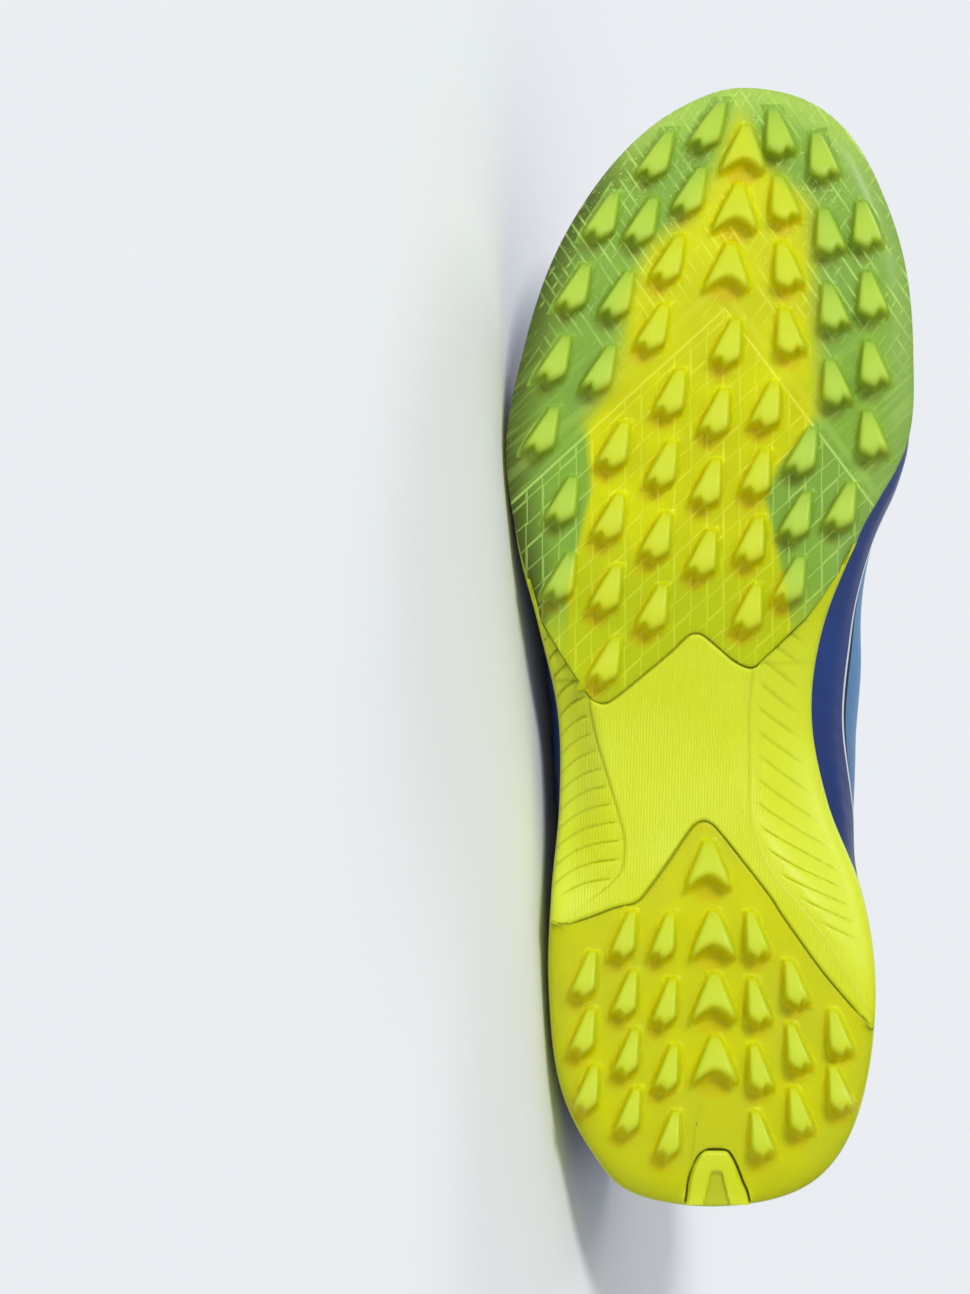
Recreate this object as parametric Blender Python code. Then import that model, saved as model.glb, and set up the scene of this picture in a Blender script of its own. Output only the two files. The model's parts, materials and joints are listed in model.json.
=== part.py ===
"""A turf shoe for the right foot, lying on its outer side.

The shoe is worked out standing up: X runs to the outer side, Y from heel to
toe, and Z up from the plane of the lug tips. At the end one empty, which
carries every piece, turns it onto its outer side.
Lengths are metres. Tables hold shares of the named sizes.
"""

import math

import bmesh
import bpy
from mathutils import Matrix, Vector

# Sizes of the sole
SHOE_LENGTH = 0.280
SOLE_WIDTH = 0.1015
LUG_HEIGHT = 0.006
PLATE = 0.0026
HEEL_STACK = 0.0185
WAIST_STACK = 0.0120
FOREFOOT_STACK = 0.0090
TOE_SPRING = 0.0135
HEEL_SPRING = 0.0030
WAIST_LIFT = 0.0035
EDGE_ROUND = 0.0016
MIDSOLE_CROWN = 0.0005
WING_RISE = 0.0085
RIB_HEIGHT = 0.0009
RIB_WIDTH = 0.0022

# Sizes of a lug
LUG_LENGTH = 0.0108
LUG_WIDTH = 0.0078
LUG_TIP_WIDTH = 0.0028
LUG_NOTCH = 0.0026
LUG_DRAFT = 0.0007
CHEVRON_WIDTH = 0.0118

# Sizes of the upper and what is in it
INSTEP_HEIGHT = 0.094
COLLAR_HEIGHT = 0.092
WALL = 0.0018
COLLAR_PADDING = 0.0032
PANEL_STEP = 0.0005
LASTING_MARGIN = 0.008
FEATHER_INSET = 0.0012
HEEL_INSET = 0.0024
INSOLE_THICKNESS = 0.0035
TONGUE_THICKNESS = 0.0042
TONGUE_TOP = 0.011
LACE_WIDTH = 0.0060
LACE_THICKNESS = 0.0012
EYELET_RADIUS = 0.0021
EYELET_PAIRS = 5
EYELET_MARGIN = 0.0085
EYELET_SPAN = (0.515, 0.750)
LACE_SHARE = 0.92
STRAND_STEPS = 5

# Clearances
GAP = 0.0003
UPPER_SEAT = 0.0004
INSOLE_CLEARANCE = 0.0006
LACE_CLEARANCE = 0.0012
SEAT_DEPTH = 0.0008

# Stations round the shoe, half of them on each side
STATIONS = 64

# Outline of the sole: place along the length, reach to each side in widths
OUTLINE = (
    # along, outer, inner
    (0.000, 0.000, 0.000),
    (0.012, 0.195, -0.195),
    (0.045, 0.288, -0.306),
    (0.110, 0.374, -0.375),
    (0.200, 0.401, -0.397),
    (0.280, 0.393, -0.364),
    (0.360, 0.373, -0.280),
    (0.440, 0.377, -0.240),
    (0.520, 0.426, -0.270),
    (0.600, 0.484, -0.361),
    (0.680, 0.510, -0.478),
    (0.760, 0.470, -0.494),
    (0.840, 0.401, -0.475),
    (0.910, 0.292, -0.414),
    (0.960, 0.168, -0.335),
    (0.990, 0.036, -0.225),
    (1.000, -0.080, -0.080),
)

# Side view of the sole: lift of its underside and thickness over it
PROFILE = (
    # along, heel spring, waist lift, toe spring, heel stack, waist stack, forefoot stack
    (0.00, 1.00, 0.0, 0.00, 1.02, 0.00, 0.00),
    (0.04, 0.45, 0.0, 0.00, 1.00, 0.00, 0.00),
    (0.10, 0.00, 0.0, 0.00, 1.00, 0.00, 0.00),
    (0.25, 0.00, 0.0, 0.00, 0.98, 0.00, 0.00),
    (0.33, 0.00, 0.5, 0.00, 0.50, 0.50, 0.00),
    (0.42, 0.00, 1.0, 0.00, 0.00, 1.00, 0.00),
    (0.50, 0.00, 0.7, 0.00, 0.00, 0.45, 0.55),
    (0.60, 0.00, 0.0, 0.00, 0.00, 0.00, 1.00),
    (0.72, 0.00, 0.0, 0.00, 0.00, 0.00, 0.98),
    (0.80, 0.00, 0.0, 0.12, 0.00, 0.00, 0.98),
    (0.88, 0.00, 0.0, 0.38, 0.00, 0.00, 1.00),
    (0.95, 0.00, 0.0, 0.72, 0.00, 0.00, 1.05),
    (1.00, 0.00, 0.0, 1.00, 0.00, 0.00, 1.10),
)

# Arch wings: how far the underside climbs, and where it starts between spine and edge
WINGS = (
    # along, outer rise, outer start, inner rise, inner start
    (0.17, 0.00, 0.60, 0.00, 0.88),
    (0.25, 0.00, 0.62, 0.35, 0.72),
    (0.31, 0.55, 0.60, 0.75, 0.50),
    (0.37, 0.90, 0.60, 1.00, 0.33),
    (0.43, 0.90, 0.66, 0.95, 0.30),
    (0.50, 0.35, 0.72, 0.60, 0.36),
    (0.58, 0.00, 0.75, 0.05, 0.60),
    (0.64, 0.00, 0.75, 0.00, 0.70),
)

# Zones of the two outsoles: corners as shares of width and length
FOREFOOT_ZONE = (
    # outer, along
    (0.600, 0.510), (0.296, 0.448), (0.271, 0.448), (0.160, 0.478), (0.047, 0.518),
    (-0.060, 0.488), (-0.108, 0.484), (-0.357, 0.596), (-0.600, 0.710),
    (-0.600, 1.060), (0.600, 1.060),
)
HEEL_ZONE = (
    # outer, along
    (0.600, 0.224), (0.377, 0.248), (0.180, 0.270), (0.110, 0.303), (0.017, 0.351),
    (-0.080, 0.302), (-0.372, 0.167), (-0.600, 0.062), (-0.600, -0.060),
    (-0.094, -0.060), (-0.094, -0.008), (-0.049, 0.042), (-0.027, 0.050),
    (0.022, 0.050), (0.039, 0.042), (0.074, -0.008), (0.074, -0.060), (0.600, -0.060),
)

# Lugs in rows: first and last place, sideways bow, count, lean in degrees and kind
LUG_ROWS = (
    # outer, along, outer, along, bow, count, lean, kind
    (0.002, 0.967, 0.131, 0.940, 0.000, 2, 32, "fork"),
    (0.264, 0.885, 0.412, 0.693, 0.023, 4, 29, "fork"),
    (0.167, 0.881, 0.272, 0.748, 0.008, 3, 29, "fork"),
    (0.048, 0.908, 0.140, 0.785, 0.008, 3, 28, "fork"),
    (-0.079, 0.946, -0.039, 0.840, 0.000, 3, 7, "chevron"),
    (-0.160, 0.960, -0.184, 0.781, -0.004, 4, -15, "fork"),
    (-0.267, 0.939, -0.298, 0.736, -0.006, 4, -15, "fork"),
    (-0.375, 0.877, -0.388, 0.690, -0.009, 4, -12, "fork"),
    (-0.042, 0.772, 0.019, 0.584, 0.010, 4, 20, "fork"),
    (0.097, 0.727, 0.140, 0.535, 0.007, 4, 23, "fork"),
    (0.236, 0.680, 0.257, 0.488, 0.005, 4, 25, "fork"),
    (0.363, 0.631, 0.368, 0.563, 0.000, 2, 24, "fork"),
    (-0.138, 0.716, -0.094, 0.535, 0.010, 4, 19, "fork"),
    (-0.227, 0.675, -0.198, 0.560, 0.000, 3, 24, "fork"),
    (-0.323, 0.626, -0.323, 0.626, 0.000, 1, 24, "fork"),
    (0.011, 0.306, 0.011, 0.306, 0.000, 1, 0, "chevron"),
    (-0.001, 0.244, -0.005, 0.132, 0.000, 3, 0, "chevron"),
    (0.116, 0.242, 0.103, 0.065, 0.000, 4, 16, "crown"),
    (0.213, 0.243, 0.201, 0.086, 0.000, 4, 18, "crown"),
    (0.310, 0.208, 0.304, 0.106, 0.006, 3, 18, "crown"),
    (-0.102, 0.243, -0.115, 0.065, 0.000, 4, -16, "crown"),
    (-0.198, 0.200, -0.209, 0.086, 0.000, 3, -18, "crown"),
    (-0.306, 0.156, -0.306, 0.106, 0.000, 2, -17, "crown"),
)

# Edge of the opening and the slopes of the wall that rises to it
UPPER = (
    # side, along, edge outer, edge along, edge height, flare, lift, slope, reach
    ("mid", 0.000, 0.000, 0.030, 0.978, 0.22, 0.34, 100, 0.34),
    ("outer", 0.020, 0.145, 0.050, 0.962, 0.18, 0.34, 98, 0.34),
    ("outer", 0.090, 0.235, 0.100, 0.880, 0.00, 0.33, 93, 0.30),
    ("outer", 0.200, 0.285, 0.198, 0.770, -0.06, 0.32, 88, 0.26),
    ("outer", 0.300, 0.283, 0.292, 0.790, 0.12, 0.33, 80, 0.27),
    ("outer", 0.400, 0.235, 0.375, 0.925, 0.38, 0.36, 66, 0.30),
    ("outer", 0.500, 0.168, 0.432, 1.000, 0.22, 0.37, 54, 0.33),
    ("outer", 0.600, 0.130, 0.520, 0.890, -0.02, 0.34, 44, 0.33),
    ("outer", 0.700, 0.108, 0.605, 0.765, -0.08, 0.33, 32, 0.33),
    ("outer", 0.800, 0.088, 0.655, 0.690, -0.04, 0.37, 23, 0.33),
    ("outer", 0.900, 0.060, 0.678, 0.655, 0.04, 0.45, 19, 0.36),
    ("outer", 0.970, 0.025, 0.688, 0.640, 0.02, 0.54, 16, 0.42),
    ("mid", 1.000, -0.012, 0.692, 0.635, 0.02, 0.58, 15, 0.46),
    ("inner", 0.970, -0.050, 0.688, 0.640, 0.02, 0.56, 16, 0.44),
    ("inner", 0.900, -0.084, 0.676, 0.657, 0.05, 0.49, 19, 0.38),
    ("inner", 0.800, -0.110, 0.652, 0.695, 0.10, 0.41, 25, 0.34),
    ("inner", 0.700, -0.126, 0.600, 0.775, 0.16, 0.35, 34, 0.33),
    ("inner", 0.600, -0.144, 0.515, 0.900, 0.40, 0.36, 46, 0.33),
    ("inner", 0.500, -0.176, 0.430, 1.010, 0.80, 0.40, 58, 0.34),
    ("inner", 0.400, -0.235, 0.372, 0.940, 0.84, 0.38, 70, 0.30),
    ("inner", 0.300, -0.276, 0.290, 0.815, 0.46, 0.34, 82, 0.27),
    ("inner", 0.200, -0.280, 0.196, 0.790, 0.10, 0.32, 90, 0.26),
    ("inner", 0.090, -0.235, 0.098, 0.885, 0.10, 0.33, 94, 0.30),
    ("inner", 0.020, -0.145, 0.050, 0.962, 0.18, 0.34, 98, 0.34),
)

# Steps up the wall, as shares from the sole to the edge of the opening
WALL_STEPS = (0.0, 0.08, 0.17, 0.27, 0.36, 0.375, 0.50, 0.64, 0.78, 0.90, 0.97)
PANEL_FROM = 0.37
INNER_STEPS = (0.97, 0.86, 0.68, 0.48, 0.28, 0.10)

# Colour, roughness and metal share of each piece
FINISHES = {
    "forefoot_rubber": ((0.53, 0.74, 0.08), 0.28, 0.0),
    "heel_rubber": ((0.72, 0.80, 0.02), 0.35, 0.0),
    "midsole_foam": ((0.76, 0.86, 0.02), 0.45, 0.0),
    "coated_upper": ((0.010, 0.030, 0.250), 0.38, 0.0),
    "tongue_fabric": ((0.012, 0.030, 0.180), 0.75, 0.0),
    "insole_fabric": ((0.020, 0.050, 0.220), 0.85, 0.0),
    "lace_cord": ((0.60, 0.78, 0.04), 0.70, 0.0),
}


def clear_scene():
    """Empty the open file of objects."""
    for item in list(bpy.data.objects):
        bpy.data.objects.remove(item)


def material(name):
    """Plain material with the piece's own colour."""
    colour, roughness, metallic = FINISHES[name]
    made = bpy.data.materials.new(name)
    made.use_nodes = True
    shader = made.node_tree.nodes["Principled BSDF"]
    shader.inputs["Base Color"].default_value = (*colour, 1.0)
    shader.inputs["Roughness"].default_value = roughness
    shader.inputs["Metallic"].default_value = metallic
    return made


def hermite(rows, place, period=0.0, level=False):
    """Smooth curve through rows of (place, value, ...), read at one place.

    A level curve stays flat between equal rows and never overshoots a row.
    """
    if period:
        first = rows[0][0]
        place = first + (place - first) % period
        rows = ([(rows[-1][0] - period, *rows[-1][1:])] + list(rows)
                + [(row[0] + period, *row[1:]) for row in rows[:2]])
    place = min(max(place, rows[0][0]), rows[-1][0])
    index = 0
    while index < len(rows) - 2 and rows[index + 1][0] < place:
        index += 1
    start, end = rows[index], rows[index + 1]
    before = rows[max(index - 1, 0)]
    after = rows[min(index + 2, len(rows) - 1)]
    width = end[0] - start[0]
    share = (place - start[0]) / width
    values = []
    for column in range(1, len(start)):
        slope_in = (end[column] - before[column]) / (end[0] - before[0]) * width
        slope_out = (after[column] - start[column]) / (after[0] - start[0]) * width
        if level:
            step = end[column] - start[column]
            if step * (start[column] - before[column]) <= 0:
                slope_in = 0.0
            if step * (after[column] - end[column]) <= 0:
                slope_out = 0.0
        values.append((2 * share**3 - 3 * share**2 + 1) * start[column]
                      + (share**3 - 2 * share**2 + share) * slope_in
                      + (3 * share**2 - 2 * share**3) * end[column]
                      + (share**3 - share**2) * slope_out)
    return values


def smooth(value):
    """Ease from 0 to 1."""
    value = min(max(value, 0.0), 1.0)
    return value * value * (3 - 2 * value)


def turn_of(along, side):
    """Place round the outline, from the heel by the outer side to the toe and back."""
    turn = math.acos(1 - 2 * along) / (2 * math.pi)
    return 1 - turn if side == "inner" else turn


def outline_rows():
    """Outline table as one closed run of (turn, reach)."""
    outer = [(turn_of(row[0], "outer"), row[1]) for row in OUTLINE]
    inner = [(turn_of(row[0], "inner"), row[2]) for row in OUTLINE[-2:0:-1]]
    return outer + inner


OUTLINE_ROWS = outline_rows()


def outline(turn):
    """Point of the sole's outline."""
    reach = hermite(OUTLINE_ROWS, turn, 1.0)[0]
    along = (1 - math.cos(2 * math.pi * turn)) / 2
    return Vector((reach * SOLE_WIDTH, along * SHOE_LENGTH, 0.0))


def outward(turn):
    """Direction straight out of the outline, in plan."""
    ahead = outline(turn + 0.004) - outline(turn - 0.004)
    return Vector((ahead.y, -ahead.x, 0.0)).normalized()


def spine(turn):
    """Point of the middle line that a point of the outline belongs to."""
    edge = outline(turn)
    along = min(max(edge.y / SHOE_LENGTH, 0.10), 0.86)
    outer = outline(turn_of(along, "outer"))
    inner = outline(turn_of(along, "inner"))
    middle = (outer + inner) / 2
    squeeze = 0.25 * (edge.y / SHOE_LENGTH - along)
    return Vector((middle.x, (along + squeeze) * SHOE_LENGTH, 0.0))


def underside(along):
    """Height of the sole's underside, where its lugs begin."""
    row = hermite(PROFILE, along, level=True)
    return LUG_HEIGHT + row[0] * HEEL_SPRING + row[1] * WAIST_LIFT + row[2] * TOE_SPRING


def footbed(along):
    """Height of the sole's upper side, which carries the upper."""
    row = hermite(PROFILE, along, level=True)
    stack = row[3] * HEEL_STACK + row[4] * WAIST_STACK + row[5] * FOREFOOT_STACK
    return underside(along) + stack


def wing_climb(turn, share):
    """Climb of the underside towards the edge of the arch."""
    along = outline(turn).y / SHOE_LENGTH
    row = hermite(WINGS, along, level=True)
    rise, start = (row[0], row[1]) if turn % 1 < 0.5 else (row[2], row[3])
    return WING_RISE * max(rise, 0.0) * smooth((share - start) / (1.02 - start))


def ring_solid(name, rings, finish):
    """Closed solid from rings of matching points, its first and last ring filled across."""
    mesh = bmesh.new()
    loops = [[mesh.verts.new(point) for point in ring] for ring in rings]
    count = len(loops[0])
    for lower, upper in zip(loops, loops[1:]):
        for index in range(count):
            following = (index + 1) % count
            mesh.faces.new((lower[index], lower[following], upper[following], upper[index]))
    for loop, flip in ((loops[0], True), (loops[-1], False)):
        for index in range(count // 2):
            mirror = [count - index, count - index - 1]
            corners = [loop[index], loop[index + 1], loop[mirror[1] % count]]
            if index > 0:
                corners.append(loop[mirror[0] % count])
            if len(set(corners)) < 3:
                continue
            corners = list(dict.fromkeys(corners))
            mesh.faces.new(reversed(corners) if flip else corners)
    return finish_mesh(name, mesh, finish)


def finish_mesh(name, mesh, finish):
    """Write a bmesh into a named object."""
    bmesh.ops.recalc_face_normals(mesh, faces=mesh.faces)
    data = bpy.data.meshes.new(name)
    mesh.to_mesh(data)
    mesh.free()
    data.shade_smooth()
    data.set_sharp_from_angle(angle=math.radians(38))
    data.materials.append(finish)
    item = bpy.data.objects.new(name, data)
    bpy.context.scene.collection.objects.link(item)
    return item


def combine(target, cutter, operation):
    """Apply one exact Boolean and drop its operand."""
    step = target.modifiers.new(operation.lower(), "BOOLEAN")
    step.operation = operation
    step.solver = "EXACT"
    step.object = cutter
    graph = bpy.context.evaluated_depsgraph_get()
    data = bpy.data.meshes.new_from_object(target.evaluated_get(graph))
    target.modifiers.clear()
    target.data = data
    bpy.data.objects.remove(cutter)


def turns():
    """The stations round the shoe."""
    return [index / STATIONS for index in range(STATIONS)]


def sole_ring(share, height, out=None):
    """Ring between the spine and the outline, at a height that a function gives."""
    ring = []
    for turn in turns():
        edge = outline(turn) + outward(turn) * (out(turn) if out else 0.0)
        point = spine(turn).lerp(edge, share)
        along = point.y / SHOE_LENGTH
        ring.append(Vector((point.x, point.y, height(turn, share, along))))
    return ring


def prism(name, corners, bottom, top, grow, finish):
    """Upright prism over a zone of the sole, its side walls moved out by grow."""
    points = [Vector((outer * SOLE_WIDTH, along * SHOE_LENGTH)) for outer, along in corners]
    area = sum(a.cross(b) for a, b in zip(points, points[1:] + points[:1]))
    side = 1.0 if area > 0 else -1.0
    moved = []
    for index, point in enumerate(points):
        before = (point - points[index - 1]).normalized()
        after = (points[(index + 1) % len(points)] - point).normalized()
        normal_before = Vector((before.y, -before.x)) * side
        normal_after = Vector((after.y, -after.x)) * side
        middle = (normal_before + normal_after).normalized()
        moved.append(point + middle * (grow / max(middle.dot(normal_before), 0.35)))
    mesh = bmesh.new()
    base = mesh.faces.new([mesh.verts.new((p.x, p.y, bottom)) for p in moved])
    grown = bmesh.ops.extrude_face_region(mesh, geom=[base])
    raised = [part for part in grown["geom"] if isinstance(part, bmesh.types.BMVert)]
    bmesh.ops.translate(mesh, verts=raised, vec=(0, 0, top - bottom))
    return finish_mesh(name, mesh, finish)


def layer(name, rise, finish):
    """Slab under the whole sole, up to a rise over the curve of the underside."""
    mesh = bmesh.new()
    steps = 40
    loops = []
    for index in range(steps + 1):
        along = -0.05 + 1.10 * index / steps
        top = underside(along) + rise
        y = along * SHOE_LENGTH
        half = SOLE_WIDTH * 0.7
        corners = ((-half, -0.02), (half, -0.02), (half, top), (-half, top))
        loops.append([mesh.verts.new((x, y, z)) for x, z in corners])
    for near, far in zip(loops, loops[1:]):
        for index in range(4):
            following = (index + 1) % 4
            mesh.faces.new((near[index], near[following], far[following], far[index]))
    mesh.faces.new(loops[0])
    mesh.faces.new(reversed(loops[-1]))
    return finish_mesh(name, mesh, finish)


def lug_places():
    """Every lug as (point, lean, kind)."""
    places = []
    for x0, y0, x1, y1, bow, count, lean, kind in LUG_ROWS:
        for index in range(count):
            share = index / (count - 1) if count > 1 else 0.0
            x = x0 + (x1 - x0) * share + bow * 4 * share * (1 - share)
            y = y0 + (y1 - y0) * share
            places.append((x * SOLE_WIDTH, y * SHOE_LENGTH, math.radians(lean), kind))
    return places


def lug_plan(kind):
    """Corners of a lug seen from below, tip first, in its own frame."""
    half = (CHEVRON_WIDTH if kind == "chevron" else LUG_WIDTH) / 2
    tip = LUG_TIP_WIDTH / 2
    front = LUG_LENGTH / 2
    notch = LUG_NOTCH * (0.35 if kind == "crown" else 1.0)
    rear = -front + (LUG_NOTCH * 0.3 if kind == "crown" else 0.0)
    return [(-tip, front), (tip, front), (half * 0.78, 0.0), (half, rear),
            (0.0, -front + notch), (-half, rear), (-half * 0.78, 0.0)]


def add_lugs(mesh, zone):
    """Ramped lugs with a forked rear, standing on the curved underside."""
    for x, y, lean, kind in lug_places():
        if zone(y / SHOE_LENGTH) is False:
            continue
        rings = []
        for level in ("root", "base", "top"):
            ring = []
            for index, (across, ahead) in enumerate(lug_plan(kind)):
                shrink = 1.0 if level != "top" else 1.0 - 2 * LUG_DRAFT / LUG_WIDTH
                across, ahead = across * shrink, ahead * shrink
                # The tip leans to the inner side for a positive angle
                px = x - ahead * math.sin(lean) - across * math.cos(lean)
                py = y + ahead * math.cos(lean) - across * math.sin(lean)
                low = underside(py / SHOE_LENGTH)
                tip_point = index < 2
                drop = LUG_HEIGHT * (0.34 if tip_point else 1.0)
                height = {"root": low + SEAT_DEPTH, "base": low + SEAT_DEPTH * 0.5,
                          "top": low - drop}[level]
                ring.append(mesh.verts.new((px, py, height)))
            rings.append(ring)
        count = len(rings[0])
        for lower, upper in zip(rings, rings[1:]):
            for index in range(count):
                following = (index + 1) % count
                mesh.faces.new((lower[index], lower[following], upper[following], upper[index]))
        top = rings[-1]
        mesh.faces.new((top[0], top[1], top[2], top[6]))
        mesh.faces.new((top[2], top[3], top[4], top[5], top[6]))
        mesh.faces.new(reversed(rings[0]))


def outsole(name, zone, corners, finish):
    """One rubber plate with its lugs."""
    def under(turn, share, along):
        edge = smooth((share - 0.80) / 0.20)
        return underside(along) + EDGE_ROUND * edge * edge

    def over(turn, share, along):
        return underside(along) + PLATE

    rings = [sole_ring(share, under) for share in (0.12, 0.55, 0.84, 0.95, 0.99)]
    rings.append(sole_ring(1.0, lambda turn, share, along: underside(along) + EDGE_ROUND * 1.3))
    rings += [sole_ring(share, over) for share in (0.995, 0.55, 0.12)]
    plate = ring_solid(name, rings, finish)
    combine(plate, prism("zone", corners, -0.02, 0.06, 0.0, finish), "INTERSECT")
    mesh = bmesh.new()
    add_lugs(mesh, zone)
    combine(plate, finish_mesh("lugs", mesh, finish), "UNION")
    return plate


def midsole(finish):
    """Full-length midsole: shank, ribbed arch wings, heel tab and two recesses."""
    def under(turn, share, along):
        return underside(along) + wing_climb(turn, share)

    def rim(turn, share, along):
        return max(underside(along) + wing_climb(turn, 1.0) + EDGE_ROUND, 0.0)

    def side(part):
        def height(turn, share, along):
            low = rim(turn, share, along)
            return low + (footbed(along) - low) * part
        return height

    def bed(turn, share, along):
        return footbed(along)

    rings = [sole_ring(share, under) for share in (0.12, 0.30, 0.42, 0.54, 0.66, 0.77, 0.88, 0.97)]
    rings.append(sole_ring(0.997, rim))
    rings.append(sole_ring(1.0, side(0.35), lambda turn: MIDSOLE_CROWN))
    rings.append(sole_ring(1.0, side(0.75), lambda turn: MIDSOLE_CROWN / 2))
    rings.append(sole_ring(1.0, side(1.0), lambda turn: -MIDSOLE_CROWN))
    rings += [sole_ring(share, bed) for share in (0.80, 0.12)]
    body = ring_solid("midsole", rings, finish)
    mesh = bmesh.new()
    add_ribs(mesh)
    combine(body, finish_mesh("ribs", mesh, finish), "UNION")
    for corners in (FOREFOOT_ZONE, HEEL_ZONE):
        recess = layer("recess", PLATE + GAP, finish)
        combine(recess, prism("zone", corners, -0.015, 0.05, GAP, finish), "INTERSECT")
        combine(body, recess, "DIFFERENCE")
    return body


# Ribs of the arch: side, first and last place along, slant, count, first and last share
RIBS = (
    ("outer", 0.292, 0.452, 0.030, 10, 0.70, 0.96),
    ("inner", 0.262, 0.500, -0.050, 10, 0.62, 0.95),
)


def add_ribs(mesh):
    """Slanted ribs on the two wings of the arch."""
    for side, first, last, slant, count, start, end in RIBS:
        for index in range(count):
            along = first + (last - first) * index / (count - 1)
            sections = []
            for step in range(4):
                part = step / 3
                turn = turn_of(along + slant * part, side)
                share = start + (end - start) * part
                middle = spine(turn).lerp(outline(turn), share)
                low = underside(middle.y / SHOE_LENGTH) + wing_climb(turn, share)
                height = RIB_HEIGHT * (0.35 if step in (0, 3) else 1.0)
                half = RIB_WIDTH / 2
                sections.append([mesh.verts.new(point) for point in (
                    (middle.x, middle.y - half, low + SEAT_DEPTH),
                    (middle.x, middle.y - half * 0.2, low - height),
                    (middle.x, middle.y + half * 0.4, low - height),
                    (middle.x, middle.y + half, low + SEAT_DEPTH))])
            for near, far in zip(sections, sections[1:]):
                for corner in range(4):
                    following = (corner + 1) % 4
                    mesh.faces.new((near[corner], near[following], far[following], far[corner]))
            mesh.faces.new(sections[0])
            mesh.faces.new(reversed(sections[-1]))


def upper_rows():
    """Table of the upper as one closed run by turn."""
    rows = []
    for side, along, *values in UPPER:
        rows.append((turn_of(along, side), *values))
    return rows


UPPER_ROWS = upper_rows()


def feather_inset(turn):
    """How far the upper stands in from the sole's edge."""
    rear = 1 - smooth((outline(turn).y / SHOE_LENGTH - 0.25) / 0.12)
    return FEATHER_INSET + (HEEL_INSET - FEATHER_INSET) * rear


def feather(turn):
    """Point where the upper meets the sole."""
    edge = outline(turn) - outward(turn) * feather_inset(turn)
    return Vector((edge.x, edge.y, footbed(edge.y / SHOE_LENGTH) + UPPER_SEAT))


def upper_skin(turn, share):
    """Point of the upper's outer surface, share 0 at the sole and 1 at the opening."""
    row = hermite(UPPER_ROWS, turn, 1.0)
    edge_height = row[2] * (COLLAR_HEIGHT + (INSTEP_HEIGHT - COLLAR_HEIGHT)
                            * smooth((row[1] - 0.2) / 0.2))
    start = feather(turn)
    end = Vector((row[0] * SOLE_WIDTH, row[1] * SHOE_LENGTH, edge_height))
    out = outward(turn)
    level = Vector((start.x - end.x, start.y - end.y, 0.0)) + out * SOLE_WIDTH * 0.2
    level.normalize()
    slope = math.radians(row[5])
    rise = row[4] * (end.z - start.z)
    span = (end - start).length
    first = start + out * (row[3] * rise) + Vector((0, 0, rise))
    last = end + (level * math.cos(slope) - Vector((0, 0, math.sin(slope)))) * (row[6] * span)
    rest = 1 - share
    return (start * rest**3 + first * (3 * rest * rest * share)
            + last * (3 * rest * share * share) + end * share**3)


def upper_normal(turn, share):
    """Direction straight out of the upper's skin."""
    step = 0.004
    low, high = max(share - step, 0.0), min(share + step, 1.0)
    along = upper_skin(turn + step, share) - upper_skin(turn - step, share)
    up = upper_skin(turn, high) - upper_skin(turn, low)
    return along.cross(up).normalized()


def wall_depth(turn, share):
    """Thickness of the wall, padded round the ankle."""
    along = outline(turn).y / SHOE_LENGTH
    rear = 1 - smooth((along - 0.26) / 0.16)
    return WALL + COLLAR_PADDING * rear * smooth((share - 0.35) / 0.45)


def panel_relief(share):
    """The lower panel stands a little proud of the rest."""
    return PANEL_STEP if share < PANEL_FROM else 0.0


def upper_point(turn, share, depth):
    """Point at a depth under the skin."""
    return upper_skin(turn, share) - upper_normal(turn, share) * depth


def upper_ring(share, depth):
    """Ring round the wall, at a depth that a function of turn gives."""
    return [upper_point(turn, share, depth(turn)) for turn in turns()]


def upper(finish):
    """Hollow shell, open at the collar and throat and underneath inside the margin."""
    rings = []
    for share in WALL_STEPS:
        rings.append(upper_ring(share, lambda turn: -panel_relief(share)))
    for share, part in ((0.992, 0.16), (1.0, 0.5), (0.992, 0.84)):
        rings.append(upper_ring(share, lambda turn: wall_depth(turn, share) * part))
    for share in INNER_STEPS:
        rings.append(upper_ring(share, lambda turn: wall_depth(turn, share)))
    levels = []
    for inset, height in ((WALL * 1.15, WALL), (LASTING_MARGIN, WALL), (LASTING_MARGIN, 0.0)):
        ring = []
        for turn in turns():
            start = feather(turn)
            point = start - outward(turn) * inset
            bed = footbed(point.y / SHOE_LENGTH) + UPPER_SEAT
            ring.append(Vector((point.x, point.y, bed + height)))
        levels.append(ring)
    rings += levels
    mesh = bmesh.new()
    loops = [[mesh.verts.new(point) for point in ring] for ring in rings]
    count = len(loops[0])
    for lower, higher in zip(loops, loops[1:] + loops[:1]):
        for index in range(count):
            following = (index + 1) % count
            mesh.faces.new((lower[index], lower[following], higher[following], higher[index]))
    shell = finish_mesh("upper", mesh, finish)
    for side in ("outer", "inner"):
        for index in range(EYELET_PAIRS):
            combine(shell, eyelet_cutter(side, index, finish), "DIFFERENCE")
    return shell


def eyelet_along(index):
    """Place of one pair of eyelets along the outline."""
    first, last = EYELET_SPAN
    return first + (last - first) * index / (EYELET_PAIRS - 1)


def eyelet_place(side, index):
    """Turn and share of one eyelet, from the top of the throat down."""
    turn = turn_of(eyelet_along(index), side)
    edge = upper_skin(turn, 1.0)
    share = 1.0
    while (upper_skin(turn, share) - edge).length < EYELET_MARGIN:
        share -= 0.005
    return turn, share


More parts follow.
